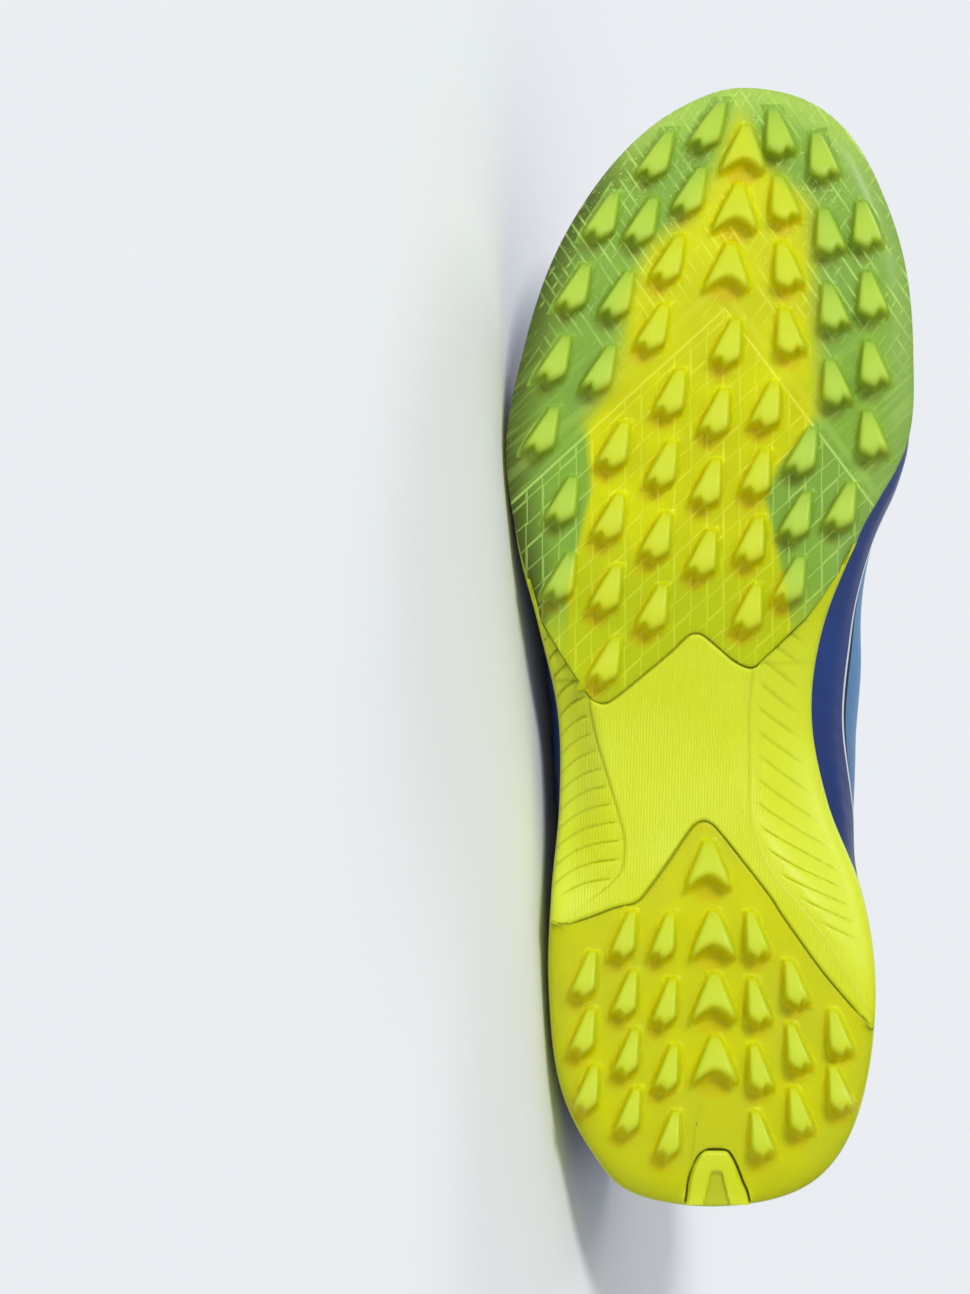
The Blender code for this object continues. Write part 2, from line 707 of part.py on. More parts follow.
def eyelet_cutter(side, index, finish):
    """Short round cutter through the wall at one eyelet."""
    turn, share = eyelet_place(side, index)
    centre = upper_point(turn, share, WALL / 2)
    normal = upper_normal(turn, share)
    mesh = bmesh.new()
    bmesh.ops.create_cone(mesh, cap_ends=True, segments=6, radius1=EYELET_RADIUS,
                          radius2=EYELET_RADIUS, depth=WALL * 3)
    spin = normal.to_track_quat("Z", "Y").to_matrix().to_4x4()
    bmesh.ops.transform(mesh, matrix=Matrix.Translation(centre) @ spin, verts=mesh.verts)
    return finish_mesh("eyelet", mesh, finish)


def insole(finish):
    """Cushioned sheet on the lasting margin, turned up a little at its rim."""
    def rim(turn):
        start = feather(turn)
        reaches = [(start - upper_point(turn, step * 0.02, wall_depth(turn, 0.0))).dot(outward(turn))
                   for step in range(8)]
        return -feather_inset(turn) - max(reaches) - INSOLE_CLEARANCE

    def bed(rise):
        def height(turn, share, along):
            cup = 0.0012 * smooth((share - 0.7) / 0.3)
            return footbed(along) + UPPER_SEAT + WALL + GAP + rise + cup
        return height

    rings = [sole_ring(share, bed(0.0), rim) for share in (0.12, 0.97)]
    rings.append(sole_ring(1.0, bed(INSOLE_THICKNESS * 0.5), rim))
    rings += [sole_ring(share, bed(INSOLE_THICKNESS), rim) for share in (0.96, 0.12)]
    return ring_solid("insole", rings, finish)


# Tongue: place along, wall share where its edge is tucked in, thickness share
TONGUE = (
    # along, tuck, thickness
    (0.505, 0.88, 1.30),
    (0.540, 0.84, 1.15),
    (0.600, 0.80, 1.00),
    (0.680, 0.78, 1.00),
    (0.760, 0.78, 0.90),
    (0.830, 0.80, 0.75),
)
TONGUE_ROWS = 9
TONGUE_ACROSS = 10
# What stands over the throat: rise and lean back of each step, and its width share
TONGUE_CREST = (
    # rise, back, width
    (0.60, 0.75, 0.94),
    (1.50, 1.35, 0.84),
    (2.00, 1.60, 0.66),
)


def throat_bridge(along, part, depth, share):
    """Point across the throat under the wall: part 0 is the outer side, 1 the inner."""
    outer_turn, inner_turn = turn_of(along, "outer"), turn_of(along, "inner")
    start = upper_point(outer_turn, share, depth)
    end = upper_point(inner_turn, share, depth)
    lift_out = upper_point(outer_turn, share + 0.02, depth) - start
    lift_in = upper_point(inner_turn, share + 0.02, depth) - end
    reach = (end - start).length * 0.36
    first = start + lift_out.normalized() * reach
    last = end + lift_in.normalized() * reach
    rest = 1 - part
    return (start * rest**3 + first * (3 * rest * rest * part)
            + last * (3 * rest * part * part) + end * part**3)


def tongue(finish):
    """Padded tongue under the throat, standing a little over the collar."""
    sections = []
    top_depth = WALL + GAP * 2
    first, last = TONGUE[0][0], TONGUE[-1][0]
    for step in range(TONGUE_ROWS):
        along = first + (last - first) * step / (TONGUE_ROWS - 1)
        tuck, thickness = hermite(TONGUE, along)
        parts = [part / TONGUE_ACROSS for part in range(TONGUE_ACROSS + 1)]
        outer = [throat_bridge(along, part, top_depth, tuck) for part in parts]
        middle = sum(outer, Vector()) / len(outer)
        inner = []
        for part, point in zip(parts, outer):
            under = throat_bridge(along, part, top_depth + TONGUE_THICKNESS, tuck) - point
            rim = 0.35 + 0.65 * smooth(min(part, 1 - part) * 5)
            inner.append(point + under * (thickness * rim))
        sections.append((outer, inner))
    first_outer, first_inner = sections[0]
    middle = sum(first_outer, Vector()) / len(first_outer)
    for height, back, width in TONGUE_CREST:
        move = Vector((0.0, -back, height)) * (TONGUE_TOP / 2)
        centre_line = Vector((middle.x, 0.0, 0.0))
        outer, inner = [], []
        for source, target in ((first_outer, outer), (first_inner, inner)):
            for point in source:
                across = (point.x - centre_line.x) * width
                target.append(Vector((middle.x + across, point.y, point.z)) + move)
        sections.insert(0, (outer, inner))
    mesh = bmesh.new()
    loops = []
    for outer, inner in sections:
        loops.append([mesh.verts.new(point) for point in outer + inner[::-1]])
    count = len(loops[0])
    for near, far in zip(loops, loops[1:]):
        for index in range(count):
            following = (index + 1) % count
            mesh.faces.new((near[index], near[following], far[following], far[index]))
    mesh.faces.new(loops[0])
    mesh.faces.new(reversed(loops[-1]))
    return finish_mesh("tongue", mesh, finish)


def strand(first, last, lift, finish):
    """One flat strand from a place on the outer side to one on the inner side."""
    mesh = bmesh.new()
    rows = []
    near_by = 0.02
    depth = -LACE_CLEARANCE - lift
    for step in range(STRAND_STEPS + 1):
        part = step / STRAND_STEPS
        along = first + (last - first) * part

        def spot(change_along, change_part):
            place = min(max(part + change_part, 0.0), 1.0)
            return throat_bridge(along + change_along, place, depth, LACE_SHARE)

        run = spot((last - first) * near_by, near_by) - spot((first - last) * near_by, -near_by)
        lengthways = spot(-near_by, 0.0) - spot(near_by, 0.0)
        up = lengthways.cross(spot(0.0, near_by) - spot(0.0, -near_by)).normalized()
        up = up if up.z > 0 else -up
        half = run.cross(up).normalized() * (LACE_WIDTH / 2)
        low = spot(0.0, 0.0)
        high = low + up * LACE_THICKNESS
        rows.append([mesh.verts.new(corner) for corner in
                     (low - half, low + half, high + half * 0.8, high - half * 0.8)])
    for near, far in zip(rows, rows[1:]):
        for corner in range(4):
            following = (corner + 1) % 4
            mesh.faces.new((near[corner], near[following], far[following], far[corner]))
    mesh.faces.new(rows[0])
    mesh.faces.new(reversed(rows[-1]))
    return finish_mesh("lace", mesh, finish)


def lace(finish):
    """Criss-cross of flat lace, joined where it crosses, lying over the throat."""
    places = [eyelet_along(index) for index in range(EYELET_PAIRS)]
    whole = strand(places[-1], places[-1], LACE_THICKNESS * 0.25, finish)
    over = LACE_THICKNESS * 0.55
    for low, high in zip(places[::-1], places[-2::-1]):
        combine(whole, strand(low, high, 0.0, finish), "UNION")
        combine(whole, strand(high, low, over, finish), "UNION")
    return whole


def lay_on_side(pieces):
    """Turn the shoe onto the side it rests on, its bottom centre at the origin."""
    points = []
    centre = Vector()
    volume = 0.0
    for piece in pieces:
        mesh = bmesh.new()
        mesh.from_mesh(piece.data)
        bmesh.ops.triangulate(mesh, faces=mesh.faces)
        for face in mesh.faces:
            a, b, c = (vert.co for vert in face.verts)
            part = a.dot(b.cross(c)) / 6
            centre += (a + b + c) / 4 * part
            volume += part
        points += [vert.co.copy() for vert in mesh.verts]
        mesh.free()
    centre /= volume
    hull = bmesh.new()
    for point in points:
        hull.verts.new(point)
    bmesh.ops.convex_hull(hull, input=hull.verts)
    bmesh.ops.dissolve_limit(hull, angle_limit=math.radians(0.2), verts=hull.verts,
                             edges=hull.edges)
    hull.normal_update()
    outer_faces = [face for face in hull.faces if face.normal.x > 0.7]
    best = max(outer_faces, key=lambda face: rest_margin(face, centre))
    down = best.normal.copy()
    hull.free()
    ahead = Vector((0, 1, 0))
    forward = (ahead - down * ahead.dot(down)).normalized()
    side = forward.cross(-down)
    turned = Matrix((side, forward, -down)).to_4x4()
    placed = [turned @ point for point in points]
    low = [min(point[axis] for point in placed) for axis in range(3)]
    high = [max(point[axis] for point in placed) for axis in range(3)]
    move = Vector((-(low[0] + high[0]) / 2, -(low[1] + high[1]) / 2, -low[2]))
    holder = bpy.data.objects.new("shoe", None)
    bpy.context.scene.collection.objects.link(holder)
    for piece in pieces:
        piece.parent = holder
    holder.matrix_world = Matrix.Translation(move) @ turned


def rest_margin(face, centre):
    """How far inside a face of the hull the centre of mass falls, below 0 outside."""
    point = centre - face.normal * (centre - face.verts[0].co).dot(face.normal)
    margin = 1.0
    for loop in face.loops:
        start, end = loop.vert.co, loop.link_loop_next.vert.co
        inward = face.normal.cross(end - start).normalized()
        margin = min(margin, (point - start).dot(inward))
    return margin


def main():
    """Build every piece and lay the shoe down."""
    clear_scene()
    finishes = {name: material(name) for name in FINISHES}
    pieces = [
        outsole("outsole_forefoot", lambda along: along > 0.42, FOREFOOT_ZONE,
                finishes["forefoot_rubber"]),
        outsole("outsole_heel", lambda along: along < 0.42, HEEL_ZONE, finishes["heel_rubber"]),
        midsole(finishes["midsole_foam"]),
        upper(finishes["coated_upper"]),
        insole(finishes["insole_fabric"]),
        tongue(finishes["tongue_fabric"]),
        lace(finishes["lace_cord"]),
    ]
    lay_on_side(pieces)


main()
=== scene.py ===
"""Looks of a turf shoe for the right foot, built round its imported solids.

Every piece is worked out with the shoe standing up: X runs to the outer side,
Y from heel to toe and Z up from the plane of the lug tips. SHOE then lays it
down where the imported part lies. Lengths are metres.
"""

import functools
import json
import math

import bmesh
import bpy
from mathutils import Matrix, Vector


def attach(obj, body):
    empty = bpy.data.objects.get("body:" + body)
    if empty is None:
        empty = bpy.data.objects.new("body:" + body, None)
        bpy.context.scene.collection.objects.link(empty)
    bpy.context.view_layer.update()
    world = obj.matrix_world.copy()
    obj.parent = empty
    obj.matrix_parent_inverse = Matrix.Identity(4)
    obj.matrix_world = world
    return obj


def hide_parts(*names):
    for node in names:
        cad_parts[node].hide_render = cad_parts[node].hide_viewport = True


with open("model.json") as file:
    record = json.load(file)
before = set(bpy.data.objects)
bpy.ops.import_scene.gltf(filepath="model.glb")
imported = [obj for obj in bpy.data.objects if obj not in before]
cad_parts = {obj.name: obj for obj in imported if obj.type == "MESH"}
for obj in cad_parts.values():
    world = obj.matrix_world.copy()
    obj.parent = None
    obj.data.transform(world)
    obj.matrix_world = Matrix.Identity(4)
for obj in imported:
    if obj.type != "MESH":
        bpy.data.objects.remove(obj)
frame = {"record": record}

bl_info = {
    "name": "Turf Shoe",
    "version": (1, 0, 0),
    "blender": (4, 5, 0),
    "location": "View3D > Sidebar > Turf Shoe",
    "description": "Builds the rubber, foam, upper, tongue and lace of a turf shoe",
    "category": "Add Mesh",
}

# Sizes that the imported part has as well
SHOE_LENGTH = 0.280
SOLE_WIDTH = 0.1015
LUG_HEIGHT = 0.006
PLATE = 0.0026
HEEL_STACK = 0.0185
WAIST_STACK = 0.0120
FOREFOOT_STACK = 0.0090
TOE_SPRING = 0.0135
HEEL_SPRING = 0.0030
WAIST_LIFT = 0.0035
EDGE_ROUND = 0.0016
MIDSOLE_CROWN = 0.0005
WING_RISE = 0.0085
INSTEP_HEIGHT = 0.094
COLLAR_HEIGHT = 0.092
WALL = 0.0018
COLLAR_PADDING = 0.0032
LASTING_MARGIN = 0.008
FEATHER_INSET = 0.0012
HEEL_INSET = 0.0024
INSOLE_THICKNESS = 0.0035
TONGUE_THICKNESS = 0.0042
TONGUE_TOP = 0.011
EYELET_RADIUS = 0.0021
EYELET_PAIRS = 5
EYELET_MARGIN = 0.0085
EYELET_SPAN = (0.515, 0.750)
GAP = 0.0003
UPPER_SEAT = 0.0004
INSOLE_CLEARANCE = 0.0006

# Outline of the sole: place along the length, reach to each side in widths
OUTLINE = (
    (0.000, 0.000, 0.000), (0.012, 0.195, -0.195), (0.045, 0.288, -0.306),
    (0.110, 0.374, -0.375), (0.200, 0.401, -0.397), (0.280, 0.393, -0.364),
    (0.360, 0.373, -0.280), (0.440, 0.377, -0.240), (0.520, 0.426, -0.270),
    (0.600, 0.484, -0.361), (0.680, 0.510, -0.478), (0.760, 0.470, -0.494),
    (0.840, 0.401, -0.475), (0.910, 0.292, -0.414), (0.960, 0.168, -0.335),
    (0.990, 0.036, -0.225), (1.000, -0.080, -0.080),
)

# Side view of the sole: along, heel spring, waist lift, toe spring and three stacks
PROFILE = (
    (0.00, 1.00, 0.0, 0.00, 1.02, 0.00, 0.00),
    (0.04, 0.45, 0.0, 0.00, 1.00, 0.00, 0.00),
    (0.10, 0.00, 0.0, 0.00, 1.00, 0.00, 0.00),
    (0.25, 0.00, 0.0, 0.00, 0.98, 0.00, 0.00),
    (0.33, 0.00, 0.5, 0.00, 0.50, 0.50, 0.00),
    (0.42, 0.00, 1.0, 0.00, 0.00, 1.00, 0.00),
    (0.50, 0.00, 0.7, 0.00, 0.00, 0.45, 0.55),
    (0.60, 0.00, 0.0, 0.00, 0.00, 0.00, 1.00),
    (0.72, 0.00, 0.0, 0.00, 0.00, 0.00, 0.98),
    (0.80, 0.00, 0.0, 0.12, 0.00, 0.00, 0.98),
    (0.88, 0.00, 0.0, 0.38, 0.00, 0.00, 1.00),
    (0.95, 0.00, 0.0, 0.72, 0.00, 0.00, 1.05),
    (1.00, 0.00, 0.0, 1.00, 0.00, 0.00, 1.10),
)

# Arch wings: along, outer rise, outer start, inner rise, inner start
WINGS = (
    (0.17, 0.00, 0.60, 0.00, 0.88), (0.25, 0.00, 0.62, 0.35, 0.72),
    (0.31, 0.55, 0.60, 0.75, 0.50), (0.37, 0.90, 0.60, 1.00, 0.33),
    (0.43, 0.90, 0.66, 0.95, 0.30), (0.50, 0.35, 0.72, 0.60, 0.36),
    (0.58, 0.00, 0.75, 0.05, 0.60), (0.64, 0.00, 0.75, 0.00, 0.70),
)

# Edges of the two outsoles from the outer to the inner side, and the heel notch
FOREFOOT_EDGE = (
    (0.4900, 0.5700), (0.4532, 0.5589), (0.4310, 0.5295), (0.3645, 0.4875), (0.3005, 0.4536),
    (0.2857, 0.4500), (0.2685, 0.4491), (0.2463, 0.4527), (0.1847, 0.4705), (0.1108, 0.4929),
    (0.0640, 0.5089), (0.0443, 0.5116), (0.0222, 0.5098), (-0.0222, 0.4964), (-0.0517, 0.4875),
    (-0.0813, 0.4821), (-0.1034, 0.4821), (-0.1305, 0.4911), (-0.1847, 0.5098),
    (-0.2389, 0.5295), (-0.3103, 0.5661), (-0.3571, 0.5955), (-0.3950, 0.6020),
)
HEEL_EDGE = (
    (0.4507, 0.2571), (0.3892, 0.2527), (0.3596, 0.2509), (0.3079, 0.2562), (0.2414, 0.2652),
    (0.1872, 0.2705), (0.1552, 0.2830), (0.1034, 0.3089), (0.0567, 0.3339), (0.0369, 0.3411),
    (0.0197, 0.3429), (0.0074, 0.3411), (-0.0099, 0.3357), (-0.0690, 0.3089),
    (-0.1355, 0.2777), (-0.1675, 0.2598), (-0.2020, 0.2420), (-0.2660, 0.2098),
    (-0.3325, 0.1812), (-0.3670, 0.1679), (-0.4236, 0.1482),
)
NOTCH = (
    (-0.1059, -0.0214), (-0.0911, 0.0089), (-0.0788, 0.0205), (-0.0567, 0.0402),
    (-0.0369, 0.0500), (-0.0025, 0.0518), (0.0222, 0.0500), (0.0443, 0.0420),
    (0.0640, 0.0232), (0.0690, 0.0089), (0.0813, -0.0214),
)
FOREFOOT_CENTRE = (-0.02, 0.70)
HEEL_CENTRE = (0.0, 0.16)

# Lugs in rows: first and last place, sideways bow, count, lean in degrees and kind
LUG_ROWS = (
    (0.002, 0.967, 0.131, 0.940, 0.000, 2, 32, "fork"),
    (0.264, 0.885, 0.412, 0.693, 0.023, 4, 29, "fork"),
    (0.167, 0.881, 0.272, 0.748, 0.008, 3, 29, "fork"),
    (0.048, 0.908, 0.140, 0.785, 0.008, 3, 28, "fork"),
    (-0.079, 0.946, -0.039, 0.840, 0.000, 3, 7, "chevron"),
    (-0.160, 0.960, -0.184, 0.781, -0.004, 4, -15, "fork"),
    (-0.267, 0.939, -0.298, 0.736, -0.006, 4, -15, "fork"),
    (-0.375, 0.877, -0.388, 0.690, -0.009, 4, -12, "fork"),
    (-0.042, 0.772, 0.019, 0.584, 0.010, 4, 20, "fork"),
    (0.097, 0.727, 0.140, 0.535, 0.007, 4, 23, "fork"),
    (0.236, 0.680, 0.257, 0.488, 0.005, 4, 25, "fork"),
    (0.363, 0.631, 0.368, 0.563, 0.000, 2, 24, "fork"),
    (-0.138, 0.716, -0.094, 0.535, 0.010, 4, 19, "fork"),
    (-0.227, 0.675, -0.198, 0.560, 0.000, 3, 24, "fork"),
    (-0.323, 0.626, -0.323, 0.626, 0.000, 1, 24, "fork"),
    (0.011, 0.306, 0.011, 0.306, 0.000, 1, 0, "chevron"),
    (-0.001, 0.244, -0.005, 0.132, 0.000, 3, 0, "chevron"),
    (0.116, 0.242, 0.103, 0.065, 0.000, 4, 16, "crown"),
    (0.213, 0.243, 0.201, 0.086, 0.000, 4, 18, "crown"),
    (0.310, 0.208, 0.304, 0.106, 0.006, 3, 18, "crown"),
    (-0.102, 0.243, -0.115, 0.065, 0.000, 4, -16, "crown"),
    (-0.198, 0.200, -0.209, 0.086, 0.000, 3, -18, "crown"),
    (-0.306, 0.156, -0.306, 0.106, 0.000, 2, -17, "crown"),
)

# Top of a lug from tip to rear: place, half width of a fork, a crown and a chevron, ramp
LUG_SHAPE = (
    (0.00, 0.00095, 0.00075, 0.00090, 0.40),
    (0.25, 0.00175, 0.00135, 0.00205, 0.62),
    (0.50, 0.00250, 0.00190, 0.00325, 0.80),
    (0.75, 0.00315, 0.00245, 0.00440, 0.93),
    (1.00, 0.00360, 0.00285, 0.00520, 1.00),
)
LUG_KINDS = ("fork", "crown", "chevron")
# Rear edge of a lug: place across, and how far it stays short of the longest point
LUG_REARS = {
    "fork": ((-1.00, 0.0016), (-0.90, 0.0014), (-0.42, 0.0022), (0.02, 0.0001),
             (0.30, 0.0002), (1.00, 0.0016)),
    "crown": ((-1.00, 0.0013), (-0.84, 0.0011), (-0.46, 0.0018), (0.12, 0.0000),
              (0.30, 0.0002), (1.00, 0.0019)),
    "chevron": ((-1.00, 0.0000), (-0.66, 0.0017), (-0.30, 0.0028), (0.00, 0.0032),
                (0.30, 0.0028), (0.66, 0.0017), (1.00, 0.0000)),
}
LUG_TOP = 0.0112
LUG_LEAN = 0.76
LUG_FOOT = 0.0028
LUG_EDGE_GAP = 0.0008
# Across a lug: share of the top, millimetres beyond it and share of the height
LUG_SIDES = (
    (-1.0, 2.10, -0.25), (-1.0, 2.00, -0.03), (-1.0, 1.45, 0.005), (-1.0, 1.05, 0.06),
    (-1.0, 0.74, 0.18), (-1.0, 0.42, 0.44),
    (-1.0, 0.18, 0.76), (-0.96, 0.0, 0.93), (-0.88, 0.0, 0.985), (-0.76, 0.0, 1.0),
    (-0.58, 0.0, 1.0), (-0.42, 0.0, 1.0), (-0.24, 0.0, 1.0), (-0.08, 0.0, 1.0), (0.10, 0.0, 1.0),
    (0.30, 0.0, 1.0), (0.46, 0.0, 1.0), (0.60, 0.0, 1.0), (0.76, 0.0, 1.0), (0.88, 0.0, 0.985),
    (0.96, 0.0, 0.93), (1.0, 0.18, 0.76), (1.0, 0.42, 0.44), (1.0, 0.74, 0.18),
    (1.0, 1.05, 0.06), (1.0, 1.45, 0.005), (1.0, 2.00, -0.03), (1.0, 2.10, -0.25),
)
# Along a lug: share of the top, millimetres beyond it and share of the height
LUG_RUN = (
    (0.0, -1.50, -0.25), (0.0, -1.40, -0.03), (0.0, -0.90, 0.005), (0.0, -0.55, 0.08),
    (0.0, -0.24, 0.30), (0.0, -0.02, 0.66),
    (0.025, 0.0, 0.90), (0.06, 0.0, 0.985), (0.12, 0.0, 1.0), (0.24, 0.0, 1.0), (0.38, 0.0, 1.0),
    (0.52, 0.0, 1.0), (0.66, 0.0, 1.0), (0.78, 0.0, 1.0), (0.87, 0.0, 1.0), (0.93, 0.0, 0.99),
    (0.975, 0.0, 0.95), (1.0, 0.14, 0.84), (1.0, 0.50, 0.56), (1.0, 0.95, 0.28),
    (1.0, 1.50, 0.09), (1.0, 2.10, 0.005), (1.0, 2.70, -0.03), (1.0, 2.80, -0.25),
)

# Rounding of the rubber at the sole's outline and at its free edge: width and rise
RIM_ROUND = (0.0070, 0.0023)
FREE_ROUND = (0.0006, 0.0004)

# Two arms of the printed frame: the part of x, the part of y and their sum on the line
OUTER_ARM = (0.6734, 0.7392, 0.1638)
INNER_ARM = (-0.7974, 0.6034, 0.1376)

# Middle zone where the rubber is clear yellow, as shares of width and length
YELLOW_ZONE = (
    (-0.0665, 0.985), (-0.0074, 0.9286), (0.0567, 0.8848), (0.1552, 0.8580),
    (0.2118, 0.8089), (0.2241, 0.7679), (0.2611, 0.7268), (0.3128, 0.7000),
    (0.3005, 0.6400), (0.3600, 0.5500), (0.3600, 0.3000), (-0.3000, 0.3000),
    (-0.1800, 0.5500), (-0.1305, 0.6312), (-0.1601, 0.6589), (-0.2586, 0.7080),
    (-0.2512, 0.7911), (-0.2438, 0.8554), (-0.2365, 0.8964), (-0.1305, 0.9286),
)

# Inner edges of the two ribbed wings of the arch: along, reach in widths
OUTER_WING = (
    (0.2500, 0.3900), (0.2687, 0.3153), (0.2830, 0.2611), (0.2973, 0.2241), (0.3116, 0.2143),
    (0.3304, 0.2143), (0.3518, 0.2291), (0.3830, 0.2537), (0.4170, 0.2808), (0.4464, 0.2980),
)
INNER_WING = (
    (0.1700, -0.3900), (0.2152, -0.3128), (0.2420, -0.2660), (0.2705, -0.2020),
    (0.2973, -0.1404), (0.3161, -0.1158), (0.3357, -0.0961), (0.3589, -0.0862),
    (0.4071, -0.0862), (0.4455, -0.0862), (0.4777, -0.0961),
)

# Edge of the opening and the slopes of the wall that rises to it
UPPER = (
    ("mid", 0.000, 0.000, 0.030, 0.978, 0.22, 0.34, 100, 0.34),
    ("outer", 0.020, 0.145, 0.050, 0.962, 0.18, 0.34, 98, 0.34),
    ("outer", 0.090, 0.235, 0.100, 0.880, 0.00, 0.33, 93, 0.30),
    ("outer", 0.200, 0.285, 0.198, 0.770, -0.06, 0.32, 88, 0.26),
    ("outer", 0.300, 0.283, 0.292, 0.790, 0.12, 0.33, 80, 0.27),
    ("outer", 0.400, 0.235, 0.375, 0.925, 0.38, 0.36, 66, 0.30),
    ("outer", 0.500, 0.168, 0.432, 1.000, 0.22, 0.37, 54, 0.33),
    ("outer", 0.600, 0.130, 0.520, 0.890, -0.02, 0.34, 44, 0.33),
    ("outer", 0.700, 0.108, 0.605, 0.765, -0.08, 0.33, 32, 0.33),
    ("outer", 0.800, 0.088, 0.655, 0.690, -0.04, 0.37, 23, 0.33),
    ("outer", 0.900, 0.060, 0.678, 0.655, 0.04, 0.45, 19, 0.36),
    ("outer", 0.970, 0.025, 0.688, 0.640, 0.02, 0.54, 16, 0.42),
    ("mid", 1.000, -0.012, 0.692, 0.635, 0.02, 0.58, 15, 0.46),
    ("inner", 0.970, -0.050, 0.688, 0.640, 0.02, 0.56, 16, 0.44),
    ("inner", 0.900, -0.084, 0.676, 0.657, 0.05, 0.49, 19, 0.38),
    ("inner", 0.800, -0.110, 0.652, 0.695, 0.10, 0.41, 25, 0.34),
    ("inner", 0.700, -0.126, 0.600, 0.775, 0.16, 0.35, 34, 0.33),
    ("inner", 0.600, -0.144, 0.515, 0.900, 0.40, 0.36, 46, 0.33),
    ("inner", 0.500, -0.176, 0.430, 1.010, 0.80, 0.40, 58, 0.34),
    ("inner", 0.400, -0.235, 0.372, 0.940, 0.84, 0.38, 70, 0.30),
    ("inner", 0.300, -0.276, 0.290, 0.815, 0.46, 0.34, 82, 0.27),
    ("inner", 0.200, -0.280, 0.196, 0.790, 0.10, 0.32, 90, 0.26),
    ("inner", 0.090, -0.235, 0.098, 0.885, 0.10, 0.33, 94, 0.30),
    ("inner", 0.020, -0.145, 0.050, 0.962, 0.18, 0.34, 98, 0.34),
)

# Height share of the seam between the lower panel and the quarter
PANEL_SEAM = (
    ("mid", 0.000, 0.37), ("outer", 0.500, 0.37), ("mid", 1.000, 0.34),
    ("inner", 0.900, 0.32), ("inner", 0.780, 0.275), ("inner", 0.700, 0.215),
    ("inner", 0.620, 0.160), ("inner", 0.530, 0.138), ("inner", 0.440, 0.142),
    ("inner", 0.380, 0.170), ("inner", 0.320, 0.250), ("inner", 0.240, 0.335),
    ("inner", 0.120, 0.368),
)

# Tongue: place along, tuck under the wall and thickness share; then its crest
TONGUE = (
    (0.505, 0.88, 1.30), (0.540, 0.84, 1.15), (0.600, 0.80, 1.00),
    (0.680, 0.78, 1.00), (0.760, 0.78, 0.90), (0.830, 0.80, 0.75),
)
TONGUE_CREST = ((0.60, 0.75, 0.94), (1.50, 1.35, 0.84), (2.00, 1.60, 0.66))


def shoe_matrix():
    """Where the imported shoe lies, read from the two mounts on its lug tips."""
    places = {mount["name"]: mount for mount in frame["record"]["mounts"]}
    heel, ball = places["ground_heel"], places["ground_forefoot"]
    up = -Vector(heel["axis"]).normalized()
    heel_spot, ball_spot = Vector((-0.00030, 0.05113)), Vector((0.00128, 0.17965))
    start = Vector(heel["pos_m"])
    run = Vector(ball["pos_m"]) - start
    run = (run - up * run.dot(up)).normalized()
    angle = math.atan2(ball_spot.x - heel_spot.x, ball_spot.y - heel_spot.y)
    ahead = Matrix.Rotation(angle, 3, up) @ run
    side = ahead.cross(up).normalized()
    turned = Matrix((side, ahead, up)).transposed().to_4x4()
    local = Vector((heel_spot.x, heel_spot.y, 0.0))
    return Matrix.Translation(start - turned @ local) @ turned


SHOE = shoe_matrix()


def hermite(rows, place, period=0.0, level=False):
    """Smooth curve through rows of (place, value, ...), read at one place."""
    if period:
        first = rows[0][0]
        place = first + (place - first) % period
        rows = ([(rows[-1][0] - period, *rows[-1][1:])] + list(rows)
                + [(row[0] + period, *row[1:]) for row in rows[:2]])
    place = min(max(place, rows[0][0]), rows[-1][0])
    index = 0
    while index < len(rows) - 2 and rows[index + 1][0] < place:
        index += 1
    start, end = rows[index], rows[index + 1]
    before = rows[max(index - 1, 0)]
    after = rows[min(index + 2, len(rows) - 1)]
    width = end[0] - start[0]
    share = (place - start[0]) / width
    values = []
    for column in range(1, len(start)):
        slope_in = (end[column] - before[column]) / (end[0] - before[0]) * width
        slope_out = (after[column] - start[column]) / (after[0] - start[0]) * width
        if level:
            step = end[column] - start[column]
            if step * (start[column] - before[column]) <= 0:
                slope_in = 0.0
            if step * (after[column] - end[column]) <= 0:
                slope_out = 0.0
        values.append((2 * share**3 - 3 * share**2 + 1) * start[column]
                      + (share**3 - 2 * share**2 + share) * slope_in
                      + (3 * share**2 - 2 * share**3) * end[column]
                      + (share**3 - share**2) * slope_out)
    return values


def smooth(value):
    """Ease from 0 to 1."""
    value = min(max(value, 0.0), 1.0)
    return value * value * (3 - 2 * value)


def between(rows, place):
    """Straight reading of a table of (place, value), places in either order."""
    rows = sorted(rows)
    place = min(max(place, rows[0][0]), rows[-1][0])
    for (low, first), (high, last) in zip(rows, rows[1:]):
        if place <= high:
            return first + (last - first) * (place - low) / (high - low)
    return rows[-1][1]


def bezier(start, first, last, end, share):
    """Point of a curve with four control points."""
    rest = 1 - share
    return (start * rest**3 + first * (3 * rest * rest * share)
            + last * (3 * rest * share * share) + end * share**3)


def pick(rows, share):
    """Row of a table at a share of its length."""
    return rows[round(share * (len(rows) - 1))]


def in_plan(x, y):
    """Plan point from shares of the sole's width and length."""
    return Vector((x * SOLE_WIDTH, y * SHOE_LENGTH))


def turn_of(along, side):
    """Place round the outline, from the heel by the outer side to the toe and back."""
    turn = math.acos(1 - 2 * along) / (2 * math.pi)
    return 1 - turn if side == "inner" else turn


OUTLINE_ROWS = ([(turn_of(row[0], "outer"), row[1]) for row in OUTLINE]
                + [(turn_of(row[0], "inner"), row[2]) for row in OUTLINE[-2:0:-1]])
UPPER_ROWS = [(turn_of(along, side), *values) for side, along, *values in UPPER]
SEAM_ROWS = [(turn_of(along, side), share) for side, along, share in PANEL_SEAM]


